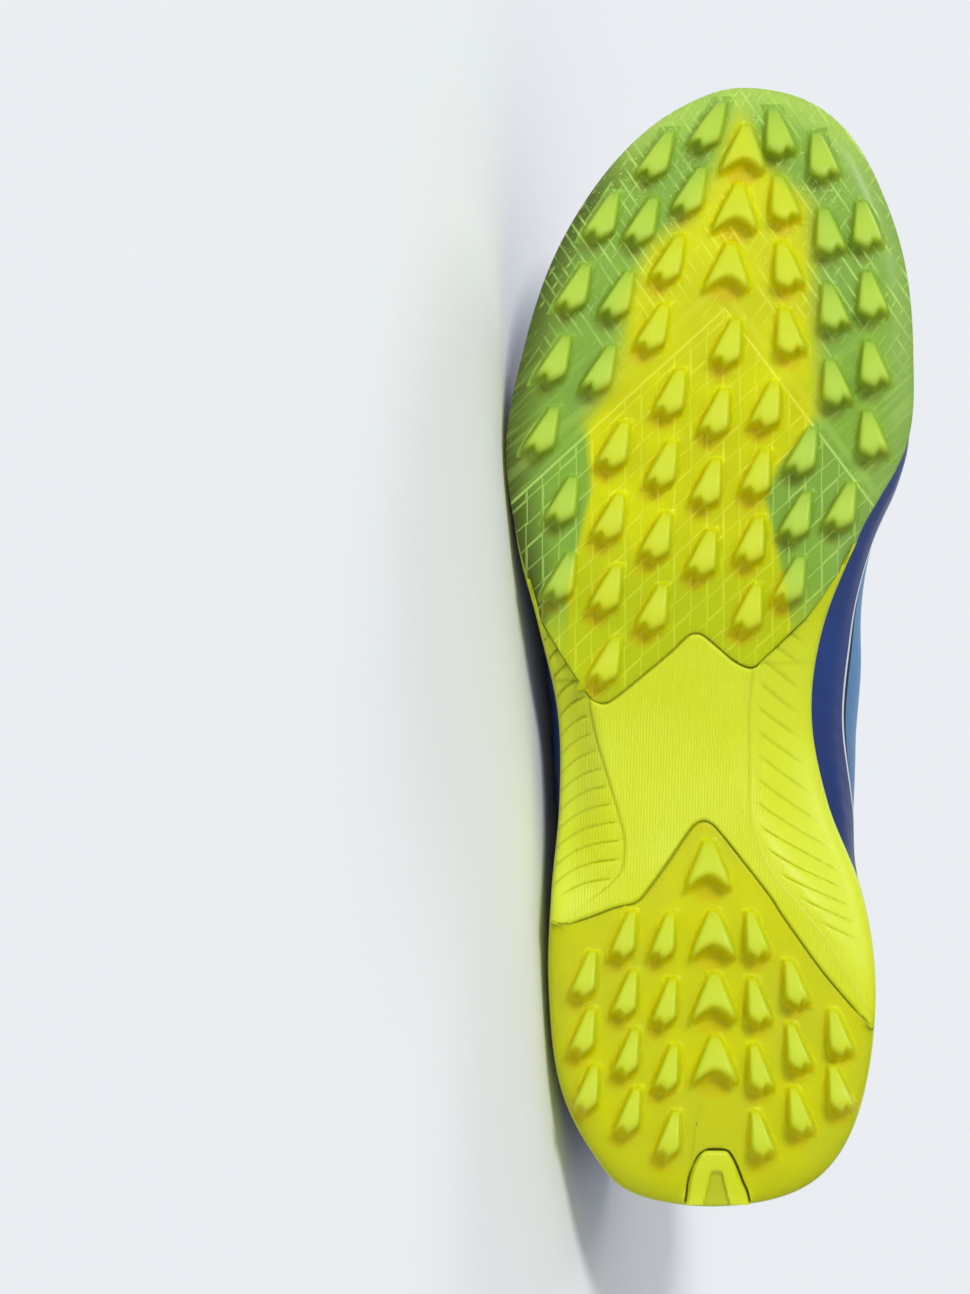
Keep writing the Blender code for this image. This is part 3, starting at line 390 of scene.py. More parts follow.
@functools.lru_cache(maxsize=None)
def outline(turn):
    """Point of the sole's outline."""
    reach = hermite(OUTLINE_ROWS, turn, 1.0)[0]
    along = (1 - math.cos(2 * math.pi * turn)) / 2
    return Vector((reach * SOLE_WIDTH, along * SHOE_LENGTH, 0.0))


@functools.lru_cache(maxsize=None)
def outward(turn):
    """Direction straight out of the outline, in plan."""
    ahead = outline(turn + 0.004) - outline(turn - 0.004)
    return Vector((ahead.y, -ahead.x, 0.0)).normalized()


@functools.lru_cache(maxsize=None)
def spine(turn):
    """Point of the middle line that a point of the outline belongs to."""
    edge = outline(turn)
    along = min(max(edge.y / SHOE_LENGTH, 0.10), 0.86)
    middle = (outline(turn_of(along, "outer")) + outline(turn_of(along, "inner"))) / 2
    squeeze = 0.25 * (edge.y / SHOE_LENGTH - along)
    return Vector((middle.x, (along + squeeze) * SHOE_LENGTH, 0.0))


@functools.lru_cache(maxsize=None)
def profile(along):
    """Heights of the sole's underside and of its upper side."""
    row = hermite(PROFILE, along, level=True)
    low = LUG_HEIGHT + row[0] * HEEL_SPRING + row[1] * WAIST_LIFT + row[2] * TOE_SPRING
    return low, low + row[3] * HEEL_STACK + row[4] * WAIST_STACK + row[5] * FOREFOOT_STACK


def underside(along):
    """Height of the sole's underside, where its lugs begin."""
    return profile(along)[0]


def footbed(along):
    """Height of the sole's upper side, which carries the upper."""
    return profile(along)[1]


@functools.lru_cache(maxsize=None)
def wing_row(turn):
    """How far the arch wing climbs at one place, and the share where it starts."""
    row = hermite(WINGS, outline(turn).y / SHOE_LENGTH, level=True)
    rise, start = (row[0], row[1]) if turn % 1 < 0.5 else (row[2], row[3])
    return max(rise, 0.0), start


def wing_climb(turn, share):
    """Climb of the underside towards the edge of the arch."""
    rise, start = wing_row(turn)
    return WING_RISE * rise * smooth((share - start) / (1.02 - start))


@functools.lru_cache(maxsize=None)
def feather_inset(turn):
    """How far the upper stands in from the sole's edge."""
    rear = 1 - smooth((outline(turn).y / SHOE_LENGTH - 0.25) / 0.12)
    return FEATHER_INSET + (HEEL_INSET - FEATHER_INSET) * rear


@functools.lru_cache(maxsize=None)
def feather(turn):
    """Point where the upper meets the sole."""
    edge = outline(turn) - outward(turn) * feather_inset(turn)
    return Vector((edge.x, edge.y, footbed(edge.y / SHOE_LENGTH) + UPPER_SEAT))


@functools.lru_cache(maxsize=None)
def wall_curve(turn):
    """Four control points of the upper's wall at one place."""
    row = hermite(UPPER_ROWS, turn, 1.0)
    edge_height = row[2] * (COLLAR_HEIGHT + (INSTEP_HEIGHT - COLLAR_HEIGHT)
                            * smooth((row[1] - 0.2) / 0.2))
    start = feather(turn)
    end = Vector((row[0] * SOLE_WIDTH, row[1] * SHOE_LENGTH, edge_height))
    out = outward(turn)
    level = Vector((start.x - end.x, start.y - end.y, 0.0)) + out * SOLE_WIDTH * 0.2
    level.normalize()
    slope = math.radians(row[5])
    rise = row[4] * (end.z - start.z)
    span = (end - start).length
    first = start + out * (row[3] * rise) + Vector((0, 0, rise))
    last = end + (level * math.cos(slope) - Vector((0, 0, math.sin(slope)))) * (row[6] * span)
    return start, first, last, end


def upper_skin(turn, share):
    """Point of the upper's outer surface, share 0 at the sole and 1 at the opening."""
    return bezier(*wall_curve(turn % 1), share)


def upper_normal(turn, share):
    """Direction straight out of the upper's skin."""
    step = 0.004
    low, high = max(share - step, 0.0), min(share + step, 1.0)
    along = upper_skin(turn + step, share) - upper_skin(turn - step, share)
    return along.cross(upper_skin(turn, high) - upper_skin(turn, low)).normalized()


def upper_point(turn, share, depth):
    """Point at a depth under the skin."""
    return upper_skin(turn, share) - upper_normal(turn, share) * depth


def on_skin(turn, share, proud):
    """Point proud of the skin, and the way up there."""
    return upper_point(turn, share, -proud), upper_normal(turn, share)


@functools.lru_cache(maxsize=None)
def wall_depth(turn, share):
    """Thickness of the wall, padded round the ankle."""
    rear = 1 - smooth((outline(turn % 1).y / SHOE_LENGTH - 0.26) / 0.16)
    return WALL + COLLAR_PADDING * rear * smooth((share - 0.35) / 0.45)


@functools.lru_cache(maxsize=None)
def seam_share(turn):
    """Height share of the seam above the lower panel."""
    return hermite(SEAM_ROWS, turn, 1.0)[0]


def eyelet_along(index):
    """Place of one pair of eyelets along the outline."""
    first, last = EYELET_SPAN
    return first + (last - first) * index / (EYELET_PAIRS - 1)


@functools.lru_cache(maxsize=None)
def eyelet_place(side, index):
    """Turn and share of one eyelet, from the top of the throat down."""
    turn = turn_of(eyelet_along(index), side)
    edge = upper_skin(turn, 1.0)
    share = 1.0
    while (upper_skin(turn, share) - edge).length < EYELET_MARGIN:
        share -= 0.005
    return turn, share


def throat_bridge(along, part, depth, share):
    """Point across the throat under the wall: part 0 is the outer side, 1 the inner."""
    outer_turn, inner_turn = turn_of(along, "outer"), turn_of(along, "inner")
    start = upper_point(outer_turn, share, depth)
    end = upper_point(inner_turn, share, depth)
    lift_out = upper_point(outer_turn, share + 0.02, depth) - start
    lift_in = upper_point(inner_turn, share + 0.02, depth) - end
    reach = (end - start).length * 0.36
    first = start + lift_out.normalized() * reach
    last = end + lift_in.normalized() * reach
    return bezier(start, first, last, end, part)


def edge_reach(along, side):
    """Sideways place of the outline on one side."""
    return outline(turn_of(min(max(along, 0.0), 1.0), side)).x


def edge_pair(along):
    """Sideways places of the outline's outer and inner side."""
    return edge_reach(along, "outer"), edge_reach(along, "inner")


def ground(x, y):
    """Height of the sole's underside at a place in plan, wings included."""
    along = min(max(y / SHOE_LENGTH, 0.0), 1.0)
    outer, inner = edge_pair(along)
    middle = (outer + inner) / 2
    side, edge = ("outer", outer) if x > middle else ("inner", inner)
    share = (x - middle) / (edge - middle) if abs(edge - middle) > 1e-5 else 0.0
    return underside(along) + wing_climb(turn_of(along, side), min(share, 1.0))


def curve_points(corners, steps=8):
    """Smooth run of plan points through corners given as shares."""
    rows = [(index, *corner) for index, corner in enumerate(corners)]
    count = (len(rows) - 1) * steps
    spots = [hermite(rows, index / steps) for index in range(count + 1)]
    return [in_plan(x, y) for x, y in spots]


def inside(point):
    """True where a plan point is under the sole."""
    along = point.y / SHOE_LENGTH
    if not 0.0 < along < 1.0:
        return False
    outer, inner = edge_pair(along)
    return inner < point.x < outer


def even_run(points, count, closed=True):
    """The same run of plan points, evenly spaced."""
    if closed:
        points = points + points[:1]
    lengths = [0.0]
    for before, after in zip(points, points[1:]):
        lengths.append(lengths[-1] + (after - before).length)
    spots = []
    index = 0
    for step in range(count):
        goal = lengths[-1] * step / (count if closed else count - 1)
        while index < len(points) - 2 and lengths[index + 1] < goal:
            index += 1
        width = max(lengths[index + 1] - lengths[index], 1e-9)
        spots.append(points[index].lerp(points[index + 1], (goal - lengths[index]) / width))
    return spots


def zone_border(edge, ahead, count):
    """Border of an outsole: its free edge, then the outline on the way back."""
    free = [point for point in curve_points(edge) if inside(point)]
    first, last = free[0].y / SHOE_LENGTH, free[-1].y / SHOE_LENGTH
    start, end = turn_of(last, "inner"), turn_of(first, "outer")
    end = end if ahead else end + 1.0
    steps = 240
    around = [outline(start + (end - start) * step / steps).to_2d() for step in range(steps + 1)]
    if not ahead:
        notch = [point for point in curve_points(NOTCH) if inside(point)]
        left, right = notch[0], notch[-1]
        near = [point for point in around
                if not (left.x < point.x < right.x and point.y < 0.012)]
        split = next(index for index, point in enumerate(near)
                     if point.x >= right.x and point.y < 0.02)
        around = near[:split] + notch + near[split:]
    return even_run(free + around, count)


def new_mesh(masks=()):
    """Empty mesh with a UV map and one float per mask on every vertex."""
    mesh = bmesh.new()
    mesh.loops.layers.uv.new("UVMap")
    for name in masks:
        mesh.verts.layers.float.new(name)
    return mesh


def bent_grid(mesh, columns, rows, place, masks=()):
    """Lay a grid and bend it: place(u, v) gives a point, then one number per mask."""
    uv = mesh.loops.layers.uv.verify()
    layers = [mesh.verts.layers.float[name] for name in masks]
    made = bmesh.ops.create_grid(mesh, x_segments=columns, y_segments=rows, size=0.5)["verts"]
    for face in {face for vert in made for face in vert.link_faces}:
        for loop in face.loops:
            loop[uv].uv = (loop.vert.co.x + 0.5, loop.vert.co.y + 0.5)
    for vert in made:
        spot = place(round(vert.co.x + 0.5, 6), round(vert.co.y + 0.5, 6))
        if layers:
            spot, *values = spot
            for layer, value in zip(layers, values):
                vert[layer] = value
        vert.co = spot
    return made


def tube(mesh, path, radius, columns, rows, closed=False, flat=1.0):
    """Round or flat cord along path(v), which gives a point and the way up."""
    def place(u, v):
        point, up = path(v)
        ahead = path(min(v + 0.002, 1.0))[0] - path(max(v - 0.002, 0.0))[0]
        side = ahead.cross(up).normalized()
        lift = side.cross(ahead).normalized()
        angle = 2 * math.pi * u
        end = 0.02 if not closed and v in (0.0, 1.0) else 1.0
        return point + (side * math.cos(angle) + lift * (math.sin(angle) * flat)) * (radius * end)

    return bent_grid(mesh, columns, rows, place)


def new_object(name, mesh):
    """Object of the scene that takes over a mesh in the making."""
    data = bpy.data.meshes.new(name)
    mesh.to_mesh(data)
    mesh.free()
    made = bpy.data.objects.new(name, data)
    bpy.context.scene.collection.objects.link(made)
    return made


def finish_piece(name, mesh, finishes, slot, nodes=(), sharp=40):
    """Lay the shoe-frame mesh down in its place and make it a piece of the part."""
    bmesh.ops.remove_doubles(mesh, verts=mesh.verts, dist=2e-6)
    bmesh.ops.transform(mesh, matrix=SHOE, verts=mesh.verts)
    bmesh.ops.recalc_face_normals(mesh, faces=mesh.faces)
    piece = new_object(name, mesh)
    piece.data.shade_smooth()
    piece.data.set_sharp_from_angle(angle=math.radians(sharp))
    for finish in finishes:
        piece.data.materials.append(finish)
    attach(piece, "root")
    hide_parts(*nodes)
    return piece


def apply_modifiers(piece):
    """Bake a piece's modifiers into its mesh."""
    graph = bpy.context.evaluated_depsgraph_get()
    data = bpy.data.meshes.new_from_object(piece.evaluated_get(graph))
    piece.modifiers.clear()
    piece.data = data


class Wire:
    """A varying number of a finish, used in plain sums."""

    def __init__(self, finish, socket):
        self.finish = finish
        self.socket = socket

    def sum(self, operation, *others):
        return self.finish.add("ShaderNodeMath", {"operation": operation}, (self, *others))

    def __add__(self, other):
        return self.sum("ADD", other)

    __radd__ = __add__

    def __sub__(self, other):
        return self.sum("SUBTRACT", other)

    def __rsub__(self, other):
        return self.finish.add("ShaderNodeMath", {"operation": "SUBTRACT"}, (other, self))

    def __mul__(self, other):
        return self.sum("MULTIPLY", other)

    __rmul__ = __mul__

    def __truediv__(self, other):
        return self.sum("DIVIDE", other)

    def step(self, start, end):
        """Ease from 0 at start to 1 at end."""
        return self.finish.add("ShaderNodeMapRange", {"interpolation_type": "SMOOTHSTEP"},
                               {"Value": self, "From Min": start, "From Max": end})

    def line(self, pitch, width):
        """Thin lines wherever the number is a whole count of pitches."""
        fold = self.sum("PINGPONG", pitch / 2)
        return 1 - fold.step(width * 0.35, width)

    def hump(self, centre, width):
        """One soft band round a value."""
        return 1 - (self - centre).sum("ABSOLUTE").step(width * 0.3, width)


class Finish:
    """A material in the making."""

    def __init__(self, name, **constants):
        self.material = bpy.data.materials.new(name)
        self.material.use_nodes = True
        self.tree = self.material.node_tree
        self.shader = self.tree.nodes["Principled BSDF"]
        for socket, value in constants.items():
            self.shader.inputs[socket.replace("_", " ")].default_value = value

    def feed(self, socket, value):
        """Link a wire to a socket, or set the socket."""
        if isinstance(value, Wire):
            self.tree.links.new(value.socket, socket)
        elif socket.type == "RGBA":
            socket.default_value = (*value[:3], 1.0)
        else:
            socket.default_value = value

    def add(self, kind, settings=None, inputs=None, output=0):
        """Any other node, from its type, its settings and its inputs."""
        made = self.tree.nodes.new(kind)
        for name, value in (settings or {}).items():
            setattr(made, name, value)
        items = inputs.items() if isinstance(inputs, dict) else enumerate(inputs or ())
        for key, value in items:
            self.feed(made.inputs[key], value)
        return Wire(self, made.outputs[output])

    def glow(self):
        """Let warm light further through than blue."""
        self.shader.subsurface_method = "BURLEY"
        self.shader.inputs["Subsurface Radius"].default_value = (1.0, 1.0, 0.15)

    def mask(self, name):
        """A number kept on the piece's own vertices."""
        return self.add("ShaderNodeAttribute", {"attribute_name": name}, output="Fac")

    def place(self):
        """The piece's place in the shoe's own frame."""
        spot = self.add("ShaderNodeTexCoord", output="Object")
        return self.add("ShaderNodeMapping", {"vector_type": "TEXTURE"},
                        {"Vector": spot, "Location": SHOE.to_translation(),
                         "Rotation": SHOE.to_euler()})

    def axes(self, place):
        """Three numbers of a place, in millimetres."""
        bigger = self.add("ShaderNodeVectorMath", {"operation": "SCALE"},
                          {"Vector": place, "Scale": 1000.0})
        split = self.add("ShaderNodeSeparateXYZ", None, (bigger,))
        return [Wire(self, split.socket.node.outputs[axis]) for axis in range(3)]

    def unwrapped(self):
        """Two numbers of the piece's own UV map."""
        split = self.add("ShaderNodeSeparateXYZ", None,
                         (self.add("ShaderNodeTexCoord", output="UV"),))
        return [Wire(self, split.socket.node.outputs[axis]) for axis in (0, 1)]

    def noise(self, vector, scale, detail=3.0, roughness=0.5, stretch=None):
        """Soft noise from 0 to 1."""
        if stretch:
            vector = self.add("ShaderNodeMapping", None, {"Vector": vector, "Scale": stretch})
        return self.add("ShaderNodeTexNoise", None,
                        {"Vector": vector, "Scale": scale, "Detail": detail,
                         "Roughness": roughness})

    def mix(self, share, first, last):
        """Colour between two colours."""
        return self.add("ShaderNodeMix", {"data_type": "RGBA"}, {0: share, 6: first, 7: last}, 2)

    def bump(self, height, distance, strength=1.0, under=None):
        """Fine relief on the shader's normal."""
        inputs = {"Height": height, "Distance": distance, "Strength": strength}
        if under is not None:
            inputs["Normal"] = under
        return self.add("ShaderNodeBump", None, inputs)

    def done(self, **varying):
        """Feed the shader's sockets and give back the material."""
        for socket, value in varying.items():
            self.feed(self.shader.inputs[socket.replace("_", " ")], value)
        return self.material


def colour(text):
    """Linear colour from six hexadecimal digits."""
    made = []
    for index in (0, 2, 4):
        level = int(text[index:index + 2], 16) / 255
        made.append(level / 12.92 if level <= 0.04045 else ((level + 0.055) / 1.055) ** 2.4)
    return tuple(made)


def tint(name, description, digits):
    """Colour setting of a panel."""
    return bpy.props.FloatVectorProperty(name=name, description=description, subtype="COLOR",
                                         size=3, min=0.0, max=1.0, default=colour(digits))


class SoleSettings(bpy.types.PropertyGroup):
    """Sizes and colours of the rubber and the foam."""

    rubber_green: tint("Rim Rubber", "Clear rubber over the blue base", "7CA238")
    rubber_yellow: tint("Middle Rubber", "Clear rubber over the yellow base", "C4C800")
    foam: tint("Foam", "Moulded foam of the shank and the wings", "C2CA08")
    heel: tint("Heel Rubber", "Clear rubber under the heel", "BEC000")
    groove: bpy.props.FloatProperty(
        name="Groove", description="Gap between an outsole and the shank", subtype="DISTANCE",
        unit="LENGTH", default=0.0007, min=0.0003, max=0.002)
    rib_pitch: bpy.props.FloatProperty(
        name="Rib Pitch", description="Spacing of the fine ribs in millimetres",
        default=0.75, min=0.4, max=2.0)


class UpperSettings(bpy.types.PropertyGroup):
    """Sizes and colours of the upper and what is in it."""

    skin: tint("Coated Skin", "Royal blue coated sheet", "10347A")
    band: tint("Side Band", "Lighter blue above the piping", "3F7FB4")
    lining: tint("Lining", "Navy knit of the lining and tongue", "16284E")
    lace: tint("Lace", "Flat woven lace", "C6DC3C")
    piping: bpy.props.FloatProperty(
        name="Piping", description="Radius of the silver piping", subtype="DISTANCE",
        unit="LENGTH", default=0.00042, min=0.0002, max=0.001)
    lace_width: bpy.props.FloatProperty(
        name="Lace Width", description="Width of the flat lace", subtype="DISTANCE",
        unit="LENGTH", default=0.0060, min=0.003, max=0.009)


class StageSettings(bpy.types.PropertyGroup):
    """Floor, camera and light."""

    floor: tint("Floor", "Colour of the studio floor", "E9EBED")
    lens: bpy.props.FloatProperty(
        name="Lens", description="Focal length in millimetres", default=500.0, min=50, max=1000)
    key: bpy.props.FloatProperty(
        name="Key Light", description="Strength of the main light", default=2.4, min=0.0,
        max=20.0)


def printed_glint(finish, spot, lug, centre):
    """Light lines printed under the forefoot's rubber: lattice, frame, hatching and specks."""
    x, y = finish.axes(spot)[:2]
    upright_pitch, slant_pitch, hatch_pitch, thin = 4.1, 4.4, 2.7, 0.40
    outer_arm, inner_arm = (x * across + y * ahead - line * 1000
                            for across, ahead, line in (OUTER_ARM, INNER_ARM))
    across_arm = x * OUTER_ARM[1] - y * OUTER_ARM[0]
    within = (1 - outer_arm.step(-0.6, -0.2)) * (1 - inner_arm.step(-0.6, -0.2))
    ahead_of, beside = outer_arm + 200, x + 60
    column = (beside / upright_pitch).sum("FLOOR")
    strip = (ahead_of / slant_pitch).sum("FLOOR")
    broken = ((column + strip) / 3).sum("FRACT").step(0.25, 0.30)
    upright = beside.line(upright_pitch, thin)
    upright = upright * ((column + strip * 2) / 3).sum("FRACT").step(0.2, 0.25)
    lattice = upright.sum("MAXIMUM", ahead_of.line(slant_pitch, thin) * broken) * within
    short_outer, short_inner = 1 - inner_arm.step(0.0, 0.6), 1 - outer_arm.step(0.0, 0.6)
    arms = outer_arm.hump(0.0, 0.5) * short_outer
    arms = arms.sum("MAXIMUM", inner_arm.hump(0.0, 0.5) * short_inner)
    bands = outer_arm.hump(5.2, 1.6) * short_outer
    bands = bands.sum("MAXIMUM", inner_arm.hump(2.6, 1.4) * short_inner)
    run = finish.add("ShaderNodeCombineXYZ", None, (outer_arm * 0.9, across_arm * 0.05, 0.0))
    streak = finish.noise(run, 1.0, 2.0).step(0.45, 0.7) * (1 - y.step(205.0, 225.0))
    faded = finish.noise(spot, 160.0, 2.0, stretch=(1.0, 0.5, 1.0)).step(0.40, 0.66)
    weave = finish.noise(spot, 210.0, 2.0).step(0.46, 0.66)
    hatch = (x * 0.83 - y * 0.56 + 300).line(hatch_pitch, 0.42) * faded
    cross = (x * 0.83 + y * 0.56 + 300).line(hatch_pitch, 0.36) * weave * 0.7
    toe = y.step(200.0, 228.0)
    outside = 1 - within
    hatch = hatch.sum("MAXIMUM", cross) * outside * (0.06 + toe * 0.94)
    speck = finish.noise(spot, 1300.0, 1.0).step(0.64, 0.72) * y.step(215.0, 262.0)
    glint = (lattice * 0.6).sum("MAXIMUM", arms * 0.8).sum("MAXIMUM", hatch * 0.75)
    glint = glint.sum("MAXIMUM", speck * 0.7).sum("MAXIMUM", bands * 0.22)
    glint = glint.sum("MAXIMUM", streak * outside * 0.25)
    return glint * (1 - lug.step(0.02, 0.3)) * (1 - centre * 0.4)


def rubber_finish(name, main, second, sole):
    """Clear moulded rubber over a printed frame in the forefoot, with a painted highlight on its
    lug tops and painted shade on the lugs' rear walls and left flanks, behind each lug and on the
    outer rim.
    """
    finish = Finish(name, IOR=1.45, Coat_Roughness=0.25,
                    Specular_IOR_Level=0.14, Subsurface_Weight=0.85, Subsurface_Scale=0.0045)
    finish.glow()
    spot = finish.place()
    x, y = finish.axes(spot)[:2]
    lug, rear, rim = finish.mask("lug"), finish.mask("rear"), finish.mask("rim")
    # deep: painted mustard shadow behind and below each lug, standing in for its cast shadow
    deep = finish.mask("deep")
    cloud = finish.noise(spot, 55.0, 2.0)
    grain = finish.noise(spot, 900.0, 2.0)
    if sole == "forefoot":
        centre = finish.mask("centre")
        tone = finish.mix(cloud.step(0.3, 0.7), main, colour("789C3C"))
        clear = finish.mix(cloud.step(0.35, 0.65), second, colour("B8BC00"))
        clear = finish.mix(y.step(176.0, 150.0), clear, colour("ACB80C"))
        tone = finish.mix(centre, tone, clear)
        # Rim colour: its own olive tone, painted darker towards the outer side where the rim turns
        # from the light, and painted lighter at the toe where it faces the light
        side = finish.mix((x + 22).step(0, 30), colour("80A04C"), colour("46521C"))
        side = finish.mix(y.step(250.0, 272.0), side, colour("9CBA50"))
        tone = finish.mix(rim * 0.9, tone, side)
        # Lug tops get a paler painted highlight, rear walls and left flanks a painted shade, and
        # the rubber behind each lug a painted mustard shadow (under)
        top = finish.mix(centre, colour("A0BC3E"), colour("BAC428"))
        painted_rear_shade = finish.mix(centre, colour("84942A"), colour("C2B400"))
        under = finish.mix(centre, colour("708028"), colour("C0A800"))
    else:
        tone = finish.mix(cloud.step(0.3, 0.7), main, colour("B6BA14"))
        tone = finish.mix(rim * 0.4, tone, colour("ACB41C"))
        # Heel lugs: the same painted highlight, painted shade and painted shadow
        top, painted_rear_shade, under = colour("B4C22A"), colour("C4B604"), colour("BCAE00")
    # Mix in the painted shadow behind each lug, the painted highlight up each lug and the painted
    # shade on rear walls and left flanks
    tone = finish.mix(deep * 0.8, tone, under)
    shade = finish.mix(lug.step(0.0, 0.85), tone, top)
    shade = finish.mix(rear * 0.85, shade, painted_rear_shade)
    relief = None
    if sole == "forefoot":
        glint = printed_glint(finish, spot, lug, centre)
        light = finish.mix(centre, colour("B4D46A"), colour("E4E24A"))
        shade = finish.mix(glint * 0.85, shade, light)
        relief = finish.bump(glint, 0.0003, 0.5)
    relief = finish.bump(grain, 0.00005, 0.3, relief)
    return finish.done(Base_Color=shade, Coat_Weight=cloud.step(0.35, 0.7) * 0.12,
                       Normal=relief, Roughness=0.34 + grain * 0.16)


def foam_finish(name, main, pitch):
    """Moulded foam with fine ribs where the shank has them."""
    finish = Finish(name, IOR=1.45, Coat_Roughness=0.3,
                    Specular_IOR_Level=0.35, Subsurface_Weight=0.15, Subsurface_Scale=0.002)
    finish.glow()
    spot = finish.place()
    x, y = finish.axes(spot)[:2]
    ribbed, groove = finish.mask("ribbed"), finish.mask("groove")
    cloud = finish.noise(spot, 30.0, 2.0)
    ribs = (x + (y - 110) * 0.03).sum("MULTIPLY", 2 * math.pi / pitch).sum("SINE") * ribbed
    tone = finish.mix(cloud.step(0.3, 0.7), main, colour("C4D02C"))
    # Painted shade in the grooves, the dent of the heel tab and on the foam under the rubber
    tone = finish.mix(groove * 0.85, tone, colour("8C8C00"))
    relief = finish.bump(ribs, 0.00006, 0.6)
    relief = finish.bump(finish.noise(spot, 1400.0, 2.0), 0.00004, 0.35, relief)
    return finish.done(Base_Color=tone, Normal=relief, Roughness=0.44 + cloud * 0.12,
                       Coat_Weight=0.03 + cloud * 0.06)


def skin_finish(name, main, band):
    """Coated sheet of the upper, with a faint pressed texture and worn flex lines."""
    finish = Finish(name, IOR=1.45, Coat_Roughness=0.22, Specular_IOR_Level=0.4)
    spot = finish.place()
    x, y, z = finish.axes(spot)
    lighter = finish.mask("band")
    wear = finish.mask("wear")
    cloud = finish.noise(spot, 40.0, 3.0)
    pores = finish.noise(spot, 1600.0, 2.0)
    weave = ((x + y) * 2.4).sum("SINE") * ((x - y + z) * 2.4).sum("SINE")
    quilt = ((y + z * 0.6) * 1.05).sum("SINE") * y.step(40.0, 60.0)
    tone = finish.mix(cloud.step(0.25, 0.75), main, tuple(level * 0.76 for level in main))
    tone = finish.mix(lighter, tone, finish.mix(cloud * 0.6, band, colour("3F7DB2")))
    # Painted shade: darker blue low on the wall near the sole, towards the heel
    foot = z.step(52.0, 30.0) * y.step(150.0, 100.0)
    tone = finish.mix(foot * 0.6, tone, colour("041E50"))
    tone = finish.mix(wear * cloud * 0.5, tone, colour("4A5A94"))
    relief = finish.bump(quilt, 0.00014, 0.22)
    relief = finish.bump(weave, 0.00005, 0.35, relief)
    relief = finish.bump(pores, 0.00004, 0.4, relief)
    return finish.done(Base_Color=tone, Normal=relief, Roughness=0.32 + cloud * 0.18,
                       Coat_Weight=0.22 - wear * 0.15)


def knit_finish(name, main, light, scale=1.0):
    """Knitted cloth, its ribs following the piece's UV map."""
    finish = Finish(name, Sheen_Weight=0.25, Sheen_Roughness=0.5)
    u, v = finish.unwrapped()
    wales = (u * 2100.0 * scale).sum("SINE")
    courses = (v * 620.0 * scale + wales * 0.8).sum("SINE")
    spot = finish.place()
    fuzz = finish.noise(spot, 700.0, 3.0)
    height = (wales + 1) * 0.5 * ((courses + 1) * 0.25 + 0.5)
    tone = finish.mix(height * 0.6 + fuzz * 0.3, main, light)
    relief = finish.bump(height, 0.0003, 0.6)
    relief = finish.bump(fuzz, 0.0001, 0.3, relief)
    return finish.done(Base_Color=tone, Normal=relief, Roughness=0.75 + fuzz * 0.2)


def lace_finish(main):
    """Flat woven lace, its herringbone following the cord."""
    finish = Finish("lace_weave", Sheen_Weight=0.2)
    u, v = finish.unwrapped()
    fold = (u * 2).sum("PINGPONG", 0.5)
    weave = (v * 420.0 + fold * 24.0).sum("SINE")
    tone = finish.mix(weave * 0.5 + 0.5, tuple(level * 0.72 for level in main), main)
    return finish.done(Base_Color=tone, Normal=finish.bump(weave, 0.0002, 0.7),
                       Roughness=0.62 + weave * 0.08)


def trim_finish(name, main, rough, metal=0.0):
    """Piping, thread or welded ring, with a little variation."""
    finish = Finish(name, Metallic=metal)
    cloud = finish.noise(finish.place(), 500.0, 2.0)
    tone = finish.mix(cloud, main, tuple(level * 0.78 for level in main))
    return finish.done(Base_Color=tone, Normal=finish.bump(cloud, 0.00005, 0.3),
                       Roughness=rough * 0.85 + cloud * rough * 0.3)


def floor_finish(main):
    """Matt studio floor with the faintest mottle."""
    finish = Finish("studio_floor")
    spot = finish.add("ShaderNodeTexCoord", output="Object")
    cloud = finish.noise(spot, 3.0, 3.0)
    tone = finish.mix(cloud * 0.4, main, tuple(level * 0.97 for level in main))
    return finish.done(Base_Color=tone, Roughness=0.72 + cloud * 0.1)


def lug_places():
    """Every lug as its place, lean and kind."""
    places = []
    for x0, y0, x1, y1, bow, count, lean, kind in LUG_ROWS:
        for index in range(count):
            share = index / (count - 1) if count > 1 else 0.0
            x = x0 + (x1 - x0) * share + bow * 4 * share * (1 - share)
            y = y0 + (y1 - y0) * share
            places.append((x * SOLE_WIDTH, y * SHOE_LENGTH, math.radians(lean), kind))
    return places


LUGS = lug_places()
# Rubber masks: lug height (painted highlight), rear (painted shade on rear walls and left flanks),
# rim (painted shade and highlight on the rim), clear yellow zone, deep (painted shadow behind each
# lug)
RUBBER_MASKS = ("lug", "rear", "rim", "centre", "deep")


def zone_depth(point, zone):
    """Signed distance into a zone of the sole, in metres."""
    corners = [in_plan(x, y) for x, y in zone]
    nearest = 1.0
    within = False
    for start, end in zip(corners, corners[1:] + corners[:1]):
        run = end - start
        share = min(max((point - start).dot(run) / run.length_squared, 0.0), 1.0)
        nearest = min(nearest, (start + run * share - point).length)
        if (start.y > point.y) != (end.y > point.y):
            if point.x < start.x + run.x * (point.y - start.y) / run.y:
                within = not within
    return nearest if within else -nearest


def centre_mask(x, y):
    """Share of clear yellow in the forefoot rubber, its edge crisp inside the printed frame."""
    framed = 1.0
    for across, ahead, line in (OUTER_ARM, INNER_ARM):
        framed *= 1 - smooth((across * x + ahead * y - line + 0.001) / 0.004)
    width = 0.0020 * framed + 0.0070 * (1 - framed)
    lower = smooth((0.56 * SHOE_LENGTH - y) / 0.02)
    return max(smooth(zone_depth(Vector((x, y)), YELLOW_ZONE) / width + 0.5), lower * 0.9)


def rim_rise(inset, rim=1.0):
    """How far the rubber curves up at a distance from its edge, rim 1 at the outline."""
    wide, drop = (free + (full - free) * rim for full, free in zip(RIM_ROUND, FREE_ROUND))
    turn = 1 - min(max(inset, 0.0) / wide, 1.0)
    return drop * (0.6 * turn ** 2.6 + 0.4 * (1 - math.sqrt(1 - turn * turn)))


